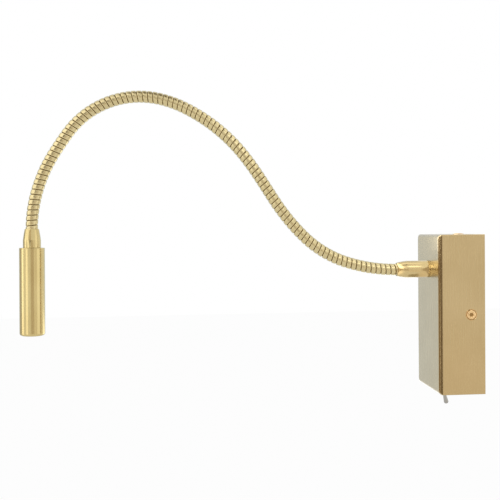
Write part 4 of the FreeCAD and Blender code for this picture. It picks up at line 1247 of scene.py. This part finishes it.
    def build(self) -> None:
        """Builds a piece for each joint, and one at each end that rides on the box or on the head."""
        half = self.link_length / 2
        root = self.piece("winding_root", -self.hidden, half)
        fit(root, "wall_box", "wound_brass", "arm_link_01")
        for number, joint in enumerate(self.joints, start=1):
            here = number * self.link_length
            piece = self.piece(f"winding_{number:02d}", here - half, here + half)
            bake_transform(piece)
            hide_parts(f"arm_link_{number + 1:02d}")
            LOG.info("%s bends at %s: %d faces", piece.name, joint["name"], len(piece.data.polygons))
        tip = self.piece("winding_head", self.total - half, self.total + self.hidden)
        fit(tip, "head", "wound_brass", "arm_link_20")


# --- head -----------------------------------------------------------------------------------------
@dataclass
class Head:
    """The head: barrel and the plug in its top.

    Attributes:
        radius: Outside radius.
        length: Top to mouth.
        wall: Thickness of the barrel.
        mouth_round: Radius around the mouth.
        segments: Steps around the barrel.
        round_steps: Steps around each of its rounded edges.
        lip: How far the lip reaches in past the wall.
        lip_thickness: Thickness of the lip.
        lip_ease: Radius around the lip's inner edge.
        top_ease: Radius around the top.
        bore_ease: Radius of the bore's edges.
        plug_thickness: Thickness of the plug.
        plug_gap: Gap around the plug.
        plug_ease: Radius around the plug.
        plug_steps: Steps around each of the plug's rounded edges.
        thread_radius: Radius of the hole in the plug.
        ferrule_length: Length of the sleeve above the head.
    """

    radius: float = 10.0
    length: float = 70.0
    wall: float = 1.2
    mouth_round: float = 2.0
    segments: int = 160
    round_steps: int = 10
    lip: float = 1.2
    lip_thickness: float = 2.4
    lip_ease: float = 0.3
    top_ease: float = 0.5
    bore_ease: float = 0.1
    plug_thickness: float = 5.0
    plug_gap: float = 0.1
    plug_ease: float = 0.2
    plug_steps: int = 4
    thread_radius: float = 5.05
    ferrule_length: float = 15.0

    def build(self, top: Array, way: Array) -> None:
        """Builds the head.

        Args:
            top: The middle of the head's top face.
            way: The way the head points.
        """
        bore = self.radius - self.wall
        mouth = bore - self.lip
        lip_top = self.length - self.lip_thickness
        barrel = [
            (bore, 0, self.bore_ease), (self.radius, 0, self.top_ease),
            (self.radius, self.length, self.mouth_round), (mouth, self.length, self.lip_ease),
            (mouth, lip_top, self.bore_ease), (bore, lip_top, 0),
        ]
        outline = rounded(barrel, closed=True, steps=self.round_steps)
        tube = build("head_tube", [lathe(outline, HEAD_BRASS, top, way, self.segments)])
        fit(tube, "head", "brushed_brass", "head_barrel")
        edge = bore - self.plug_gap
        plug = [
            (self.thread_radius, 0, self.bore_ease), (edge, 0, self.plug_ease),
            (edge, self.plug_thickness, self.plug_ease),
            (self.thread_radius, self.plug_thickness, self.bore_ease),
        ]
        outline = rounded(plug, closed=True, steps=self.plug_steps)
        piece = build("head_top_plug", [lathe(outline, PLUG_BRASS, top, way)])
        fit(piece, "head", "brushed_brass", "head_plug")


# --- CAD nodes that stay --------------------------------------------------------------------------
@dataclass
class InnerParts:
    """The CAD nodes that show as they are, each in its record's finish.

    Attributes:
        brass_nodes: Nodes whose slot is brass but whose own grain isn't the box's.
    """

    brass_nodes: tuple[str, ...] = ("terminal_clamps", "head_fitting", "root_fitting")

    def dress(self) -> None:
        """Gives each shown CAD node its finish."""
        slot_of = {part["node"]: part["material_slot"] for part in frame["record"]["subparts"]}
        for name, node in frame["nodes"].items():
            if node.hide_render:
                continue
            slot = slot_of[name]
            finish = PLUG_BRASS if name in self.brass_nodes else FINISH_OF_SLOT[slot]
            node.data.materials.clear()
            node.data.materials.append(finish.material())
            LOG.info("%s is finished in %s", name, slot)


# --- studio ---------------------------------------------------------------------------------------
def flat_sheet(
    name: str, corners: Sequence[Sequence[float]], material: bpy.types.Material
) -> bpy.types.Object:
    """A single four-sided face.

    Args:
        name: Its name.
        corners: Its four corners, in metres.
        material: What it is finished in.

    Returns:
        Its object.
    """
    mesh = bpy.data.meshes.new(name)
    mesh.from_pydata([tuple(corner) for corner in corners], [], [(0, 1, 2, 3)])
    mesh.materials.append(material)
    return put_in_scene(name, mesh)


def white_to_camera(tree: Tree) -> bpy.types.NodeSocket:
    """1 for rays from the camera, mirrors and glass, and 0 for all others."""
    path = tree.add("ShaderNodeLightPath")
    total = path.outputs["Is Camera Ray"]
    for name in ("Is Glossy Ray", "Is Transmission Ray"):
        largest = tree.add("ShaderNodeMath", operation="MAXIMUM")
        tree.join(total, largest.inputs[0])
        tree.join(path.outputs[name], largest.inputs[1])
        total = largest.outputs["Value"]
    return total


@dataclass(frozen=True)
class Card:
    """A flat card of even brightness that only shows as a reflection.

    Attributes:
        name: Its name.
        place: Its middle, in metres.
        aim: The point that it faces.
        size: Width and height, in metres.
        brightness: How bright it looks, the white surroundings being 1.
        warmth: How much the blue falls short of the red.
        near_m: Shown only to surfaces nearer than this.
    """

    name: str
    place: Place
    aim: Place
    size: Pair
    brightness: float
    warmth: float = 0.0
    near_m: float = 100.0

    def material(self) -> bpy.types.Material:
        """The card's own even glow, see-through from behind and to surfaces that are too far away."""
        material = bpy.data.materials.new(self.name)
        tree = Tree(material)
        material.cycles.emission_sampling = "NONE"
        output = tree.add("ShaderNodeOutputMaterial")
        colour = (1.0, 1.0 - self.warmth / 2, 1.0 - self.warmth, 1.0)
        glow = tree.add("ShaderNodeEmission", {"Color": colour, "Strength": self.brightness})
        path = tree.add("ShaderNodeLightPath")
        far = tree.add("ShaderNodeMath", {1: self.near_m}, operation="GREATER_THAN")
        side = tree.add("ShaderNodeNewGeometry")
        hidden = tree.add("ShaderNodeMath", operation="MAXIMUM")
        clear = tree.add("ShaderNodeBsdfTransparent")
        mixed = tree.add("ShaderNodeMixShader")
        tree.join(path.outputs["Ray Length"], far.inputs[0])
        tree.join(far.outputs["Value"], hidden.inputs[0])
        tree.join(side.outputs["Backfacing"], hidden.inputs[1])
        tree.join(hidden.outputs["Value"], mixed.inputs[0])
        tree.join(glow.outputs["Emission"], mixed.inputs[1])
        tree.join(clear.outputs["BSDF"], mixed.inputs[2])
        tree.join(mixed.outputs["Shader"], output.inputs["Surface"])
        return material

    def build(self) -> None:
        """Makes the card."""
        place = Vector(self.place)
        turned = (Vector(self.aim) - place).to_track_quat("Z", "Y")
        half_width, half_height = self.size[0] / 2, self.size[1] / 2
        ways = [(-1, -1), (1, -1), (1, 1), (-1, 1)]
        corners = [place + turned @ Vector((x * half_width, y * half_height, 0)) for x, y in ways]
        card = flat_sheet(self.name, corners, self.material())
        card.visible_camera = False
        card.visible_shadow = False
        card.visible_diffuse = False


MIDDLE = (0.0, -0.2, 0.05)
HEAD = (0.0, -0.36, -0.1)
ROOT = (0.0, -0.05, 0.035)
NEAR_EDGE = (0.03, -0.0375, 0.0)
CARDS = (
    # Windows, and upright streaks that the head shows.
    Card("window", (0.36, -1.4, 0.72), MIDDLE, (1.5, 1.2), 1.5),
    Card("high_window", (0.75, -0.7, 1.15), MIDDLE, (0.7, 0.6), 1.35),
    Card("streak_left", (0.085, -1.05, -0.05), HEAD, (0.22, 0.5), 2.0),
    Card("streak_middle", (0.55, -0.79, -0.05), HEAD, (0.2, 0.5), 1.7),
    Card("streak_end", (-0.25, -0.9, -0.05), HEAD, (0.4, 0.5), 0.6),
    Card("streak_right", (0.508, 0.836, -0.05), HEAD, (0.61, 1.18), 1.3),
    # Above and around the root of the arm, for its sleeve and the first turns.
    Card("above_root", (0.4, 0.12, 0.38), ROOT, (0.25, 0.2), 2.2, near_m=0.575),
    Card("behind_root", (0.05, 0.05, 0.34), ROOT, (0.16, 0.42), 1.45, near_m=0.36),
    Card("front_high", (0.0, -0.0385, 0.052), (0.0, -1.0, 0.052), (0.054, 0.024), 1.2, near_m=0.06),
    Card("front_middle", (0.0, -0.0385, 0.0345), (0.0, -1.0, 0.0345), (0.054, 0.011), 0.62, 0.3, 0.06),
    Card("front_low", (0.0, -0.0385, 0.0145), (0.0, -1.0, 0.0145), (0.054, 0.029), 1.0, 0.15, 0.06),
    Card("mirror_high", (0.035, -0.068, 0.085), (0.035, 1.0, 0.085), (0.15, 0.07), 3.4, 0.0, 0.16),
    Card("mirror_middle", (0.06, -0.068, 0.036), (0.06, 1.0, 0.036), (0.12, 0.028), 0.75, 0.3, 0.14),
    Card("mirror_low", (0.06, -0.068, -0.014), (0.06, 1.0, -0.014), (0.12, 0.072), 1.7, 0.1, 0.14),
    # Beside the head's sleeve, and below and above the arm.
    Card("tip_glow", (0.05, -0.375, 0.083), (0.0, -0.362, 0.066), (0.03, 0.02), 0.75, 0.2, 0.07),
    Card("below_root", (-0.45, 0.15, -0.22), ROOT, (0.5, 0.3), 2.0),
    Card("ceiling", (0.25, -0.17, 1.25), MIDDLE, (0.62, 1.0), 0.2, 0.3),
    # On the camera's side, for the side of the box and the near side of the arm.
    Card("camera_side", (0.9, -0.15, 0.0), MIDDLE, (0.5, 0.42), 0.7, 0.2),
    Card("camera_right", (0.9, 0.2, 0.0), MIDDLE, (0.22, 0.5), 1.06, 0.05),
    Card("camera_far_right", (0.9, 0.5, 0.0), MIDDLE, (0.42, 0.5), 0.93, 0.1),
    Card("camera_left", (0.9, -0.6, 0.34), MIDDLE, (0.46, 0.44), 0.22, 0.2),
    Card("camera_low", (0.45, 0.1, -0.16), ROOT, (0.2, 0.16), 1.0, 0.15, near_m=0.55),
    # Behind the lamp for the front of the box, and beside the round edge between front and side.
    Card("backdrop", (-1.0, -0.34, 0.0), (0.0, -0.0375, 0.0), (0.8, 1.0), 0.95, -0.15),
    Card("edge_side", (0.046, -0.047, 0.0), NEAR_EDGE, (0.03, 0.15), 0.25, 0.4, 0.024),
    Card("edge_front", (0.026, -0.058, 0.0), NEAR_EDGE, (0.03, 0.15), 0.35, 0.5, 0.026),
)


@dataclass
class Studio:
    """Pale floor, white surroundings, a soft lamp, light cards and the camera of the photograph.

    Attributes:
        camera_place: Where the camera stands, in metres.
        yaw_deg: How far the camera turns towards the wall from looking straight along the wall.
        pitch_deg: How far it looks up.
        roll_deg: How far it leans.
        focal_mm: Its focal length on its sensor.
        sensor_mm: Width of its sensor.
        floor_drop: How far below the origin the floor lies, in metres.
        floor_size: Side of the floor, in metres.
        floor_colour: Colour of the floor where the lamp lights it.
        floor_glow: How much of the floor's look is its own white where it is seen.
        fill: Strength of the surroundings for diffuse light.
        key_place: Where the lamp stands.
        key_aim: What it points at.
        key_size: Its width and height.
        key_watts: Its power.
    """

    camera_place: Place = (0.6496, -0.2376, 0.0711)
    yaw_deg: float = 4.605
    pitch_deg: float = -1.558
    roll_deg: float = -0.716
    focal_mm: float = 57.6
    sensor_mm: float = 36.0
    floor_drop: float = 0.32
    floor_size: float = 6.0
    floor_colour: Colour = (0.85, 0.85, 0.85, 1.0)
    floor_glow: float = 0.93
    fill: float = 0.85
    key_place: Place = (1.0, -1.3, 1.0)
    key_aim: Place = (0.0, -0.2, 0.0)
    key_size: Pair = (0.9, 0.9)
    key_watts: float = 2.0

    def camera(self) -> None:
        """Makes the camera.

        Its way is X reversed, turned by the yaw and the pitch. Its right is level, and the roll then turns
        right and up about the way.
        """
        yaw, pitch, roll = (math.radians(angle) for angle in (self.yaw_deg, self.pitch_deg, self.roll_deg))
        way = Vector((-math.cos(pitch) * math.cos(yaw), math.cos(pitch) * math.sin(yaw), math.sin(pitch)))
        level = way.cross(Vector((0, 0, 1))).normalized()
        above = level.cross(way)
        right = level * math.cos(roll) + above * math.sin(roll)
        up = above * math.cos(roll) - level * math.sin(roll)
        data = bpy.data.cameras.new("photo_camera")
        data.lens = self.focal_mm
        data.sensor_width = self.sensor_mm
        camera = put_in_scene("photo_camera", data)
        turned = Matrix((right, up, -way)).transposed().to_4x4()
        camera.matrix_world = Matrix.Translation(self.camera_place) @ turned
        bpy.context.scene.camera = camera

    def surroundings(self) -> None:
        """Makes the world: white where it is seen, a plain level where it lights."""
        world = bpy.data.worlds.new("studio")
        tree = Tree(world)
        output = tree.add("ShaderNodeOutputWorld")
        background = tree.add("ShaderNodeBackground", {"Color": WHITE})
        strength = tree.add("ShaderNodeMapRange", {"To Min": self.fill, "To Max": 1.0})
        tree.join(white_to_camera(tree), strength.inputs["Value"])
        tree.join(strength.outputs["Result"], background.inputs["Strength"])
        tree.join(background.outputs["Background"], output.inputs["Surface"])
        bpy.context.scene.world = world

    def floor(self) -> None:
        """Makes the floor: nearly white by its own light where it is seen, the rest from the lamp."""
        material = bpy.data.materials.new("pale_floor")
        tree = Tree(material)
        output = tree.add("ShaderNodeOutputMaterial")
        matt = tree.add("ShaderNodeBsdfDiffuse", {"Color": self.floor_colour})
        glow = tree.add("ShaderNodeEmission")
        mixed = tree.add("ShaderNodeMixShader")
        share = tree.add("ShaderNodeMath", {1: self.floor_glow}, operation="MULTIPLY")
        tree.join(white_to_camera(tree), share.inputs[0])
        tree.join(share.outputs["Value"], mixed.inputs[0])
        tree.join(matt.outputs["BSDF"], mixed.inputs[1])
        tree.join(glow.outputs["Emission"], mixed.inputs[2])
        tree.join(mixed.outputs["Shader"], output.inputs["Surface"])
        half = self.floor_size / 2
        ways = [(-half, -half), (half, -half), (half, half), (-half, half)]
        floor = flat_sheet("floor", [(x, y, -self.floor_drop) for x, y in ways], material)

    def key_lamp(self) -> None:
        """Makes the soft lamp."""
        data = bpy.data.lights.new("key", "AREA")
        data.shape = "RECTANGLE"
        data.size, data.size_y = self.key_size
        data.energy = self.key_watts
        lamp = put_in_scene("key", data)
        lamp.location = self.key_place
        way = Vector(self.key_aim) - Vector(self.key_place)
        lamp.rotation_euler = way.to_track_quat("-Z", "Y").to_euler()
        lamp.visible_camera = False

    def build(self) -> None:
        """Makes the whole studio."""
        bpy.context.scene.view_settings.view_transform = "Standard"
        self.camera()
        self.surroundings()
        self.floor()
        self.key_lamp()
        for card in CARDS:
            card.build()
        LOG.info("studio ready: %d cards", len(CARDS))


ROOT_SLEEVE_LENGTH = 26.5
HEAD_SLEEVE_SWELL = 0.08


def main() -> None:
    """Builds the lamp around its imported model, then the studio."""
    logging.basicConfig(level=logging.INFO, format="%(name)s: %(message)s")
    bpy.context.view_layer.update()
    WallBox().build()
    ToggleSwitch().build()
    arm = Gooseneck()
    arm.build()
    root_base = np.array([arm.places[0][0], corners_of("cover")[0][1], arm.places[0][2]])
    root = Sleeve("root_sleeve", "root_ferrule", "wall_box", ROOT_SLEEVE_LENGTH, SLEEVE_BRASS)
    root.build(root_base, OUTWARD)
    tip = Sleeve(
        "head_sleeve", "head_ferrule", "head", Head.ferrule_length, HEAD_BRASS, swell=HEAD_SLEEVE_SWELL
    )
    tip.build(arm.head_top, -arm.head_way)
    Head().build(arm.head_top, arm.head_way)
    InnerParts().dress()
    Studio().build()


if __name__ == "__main__":
    main()
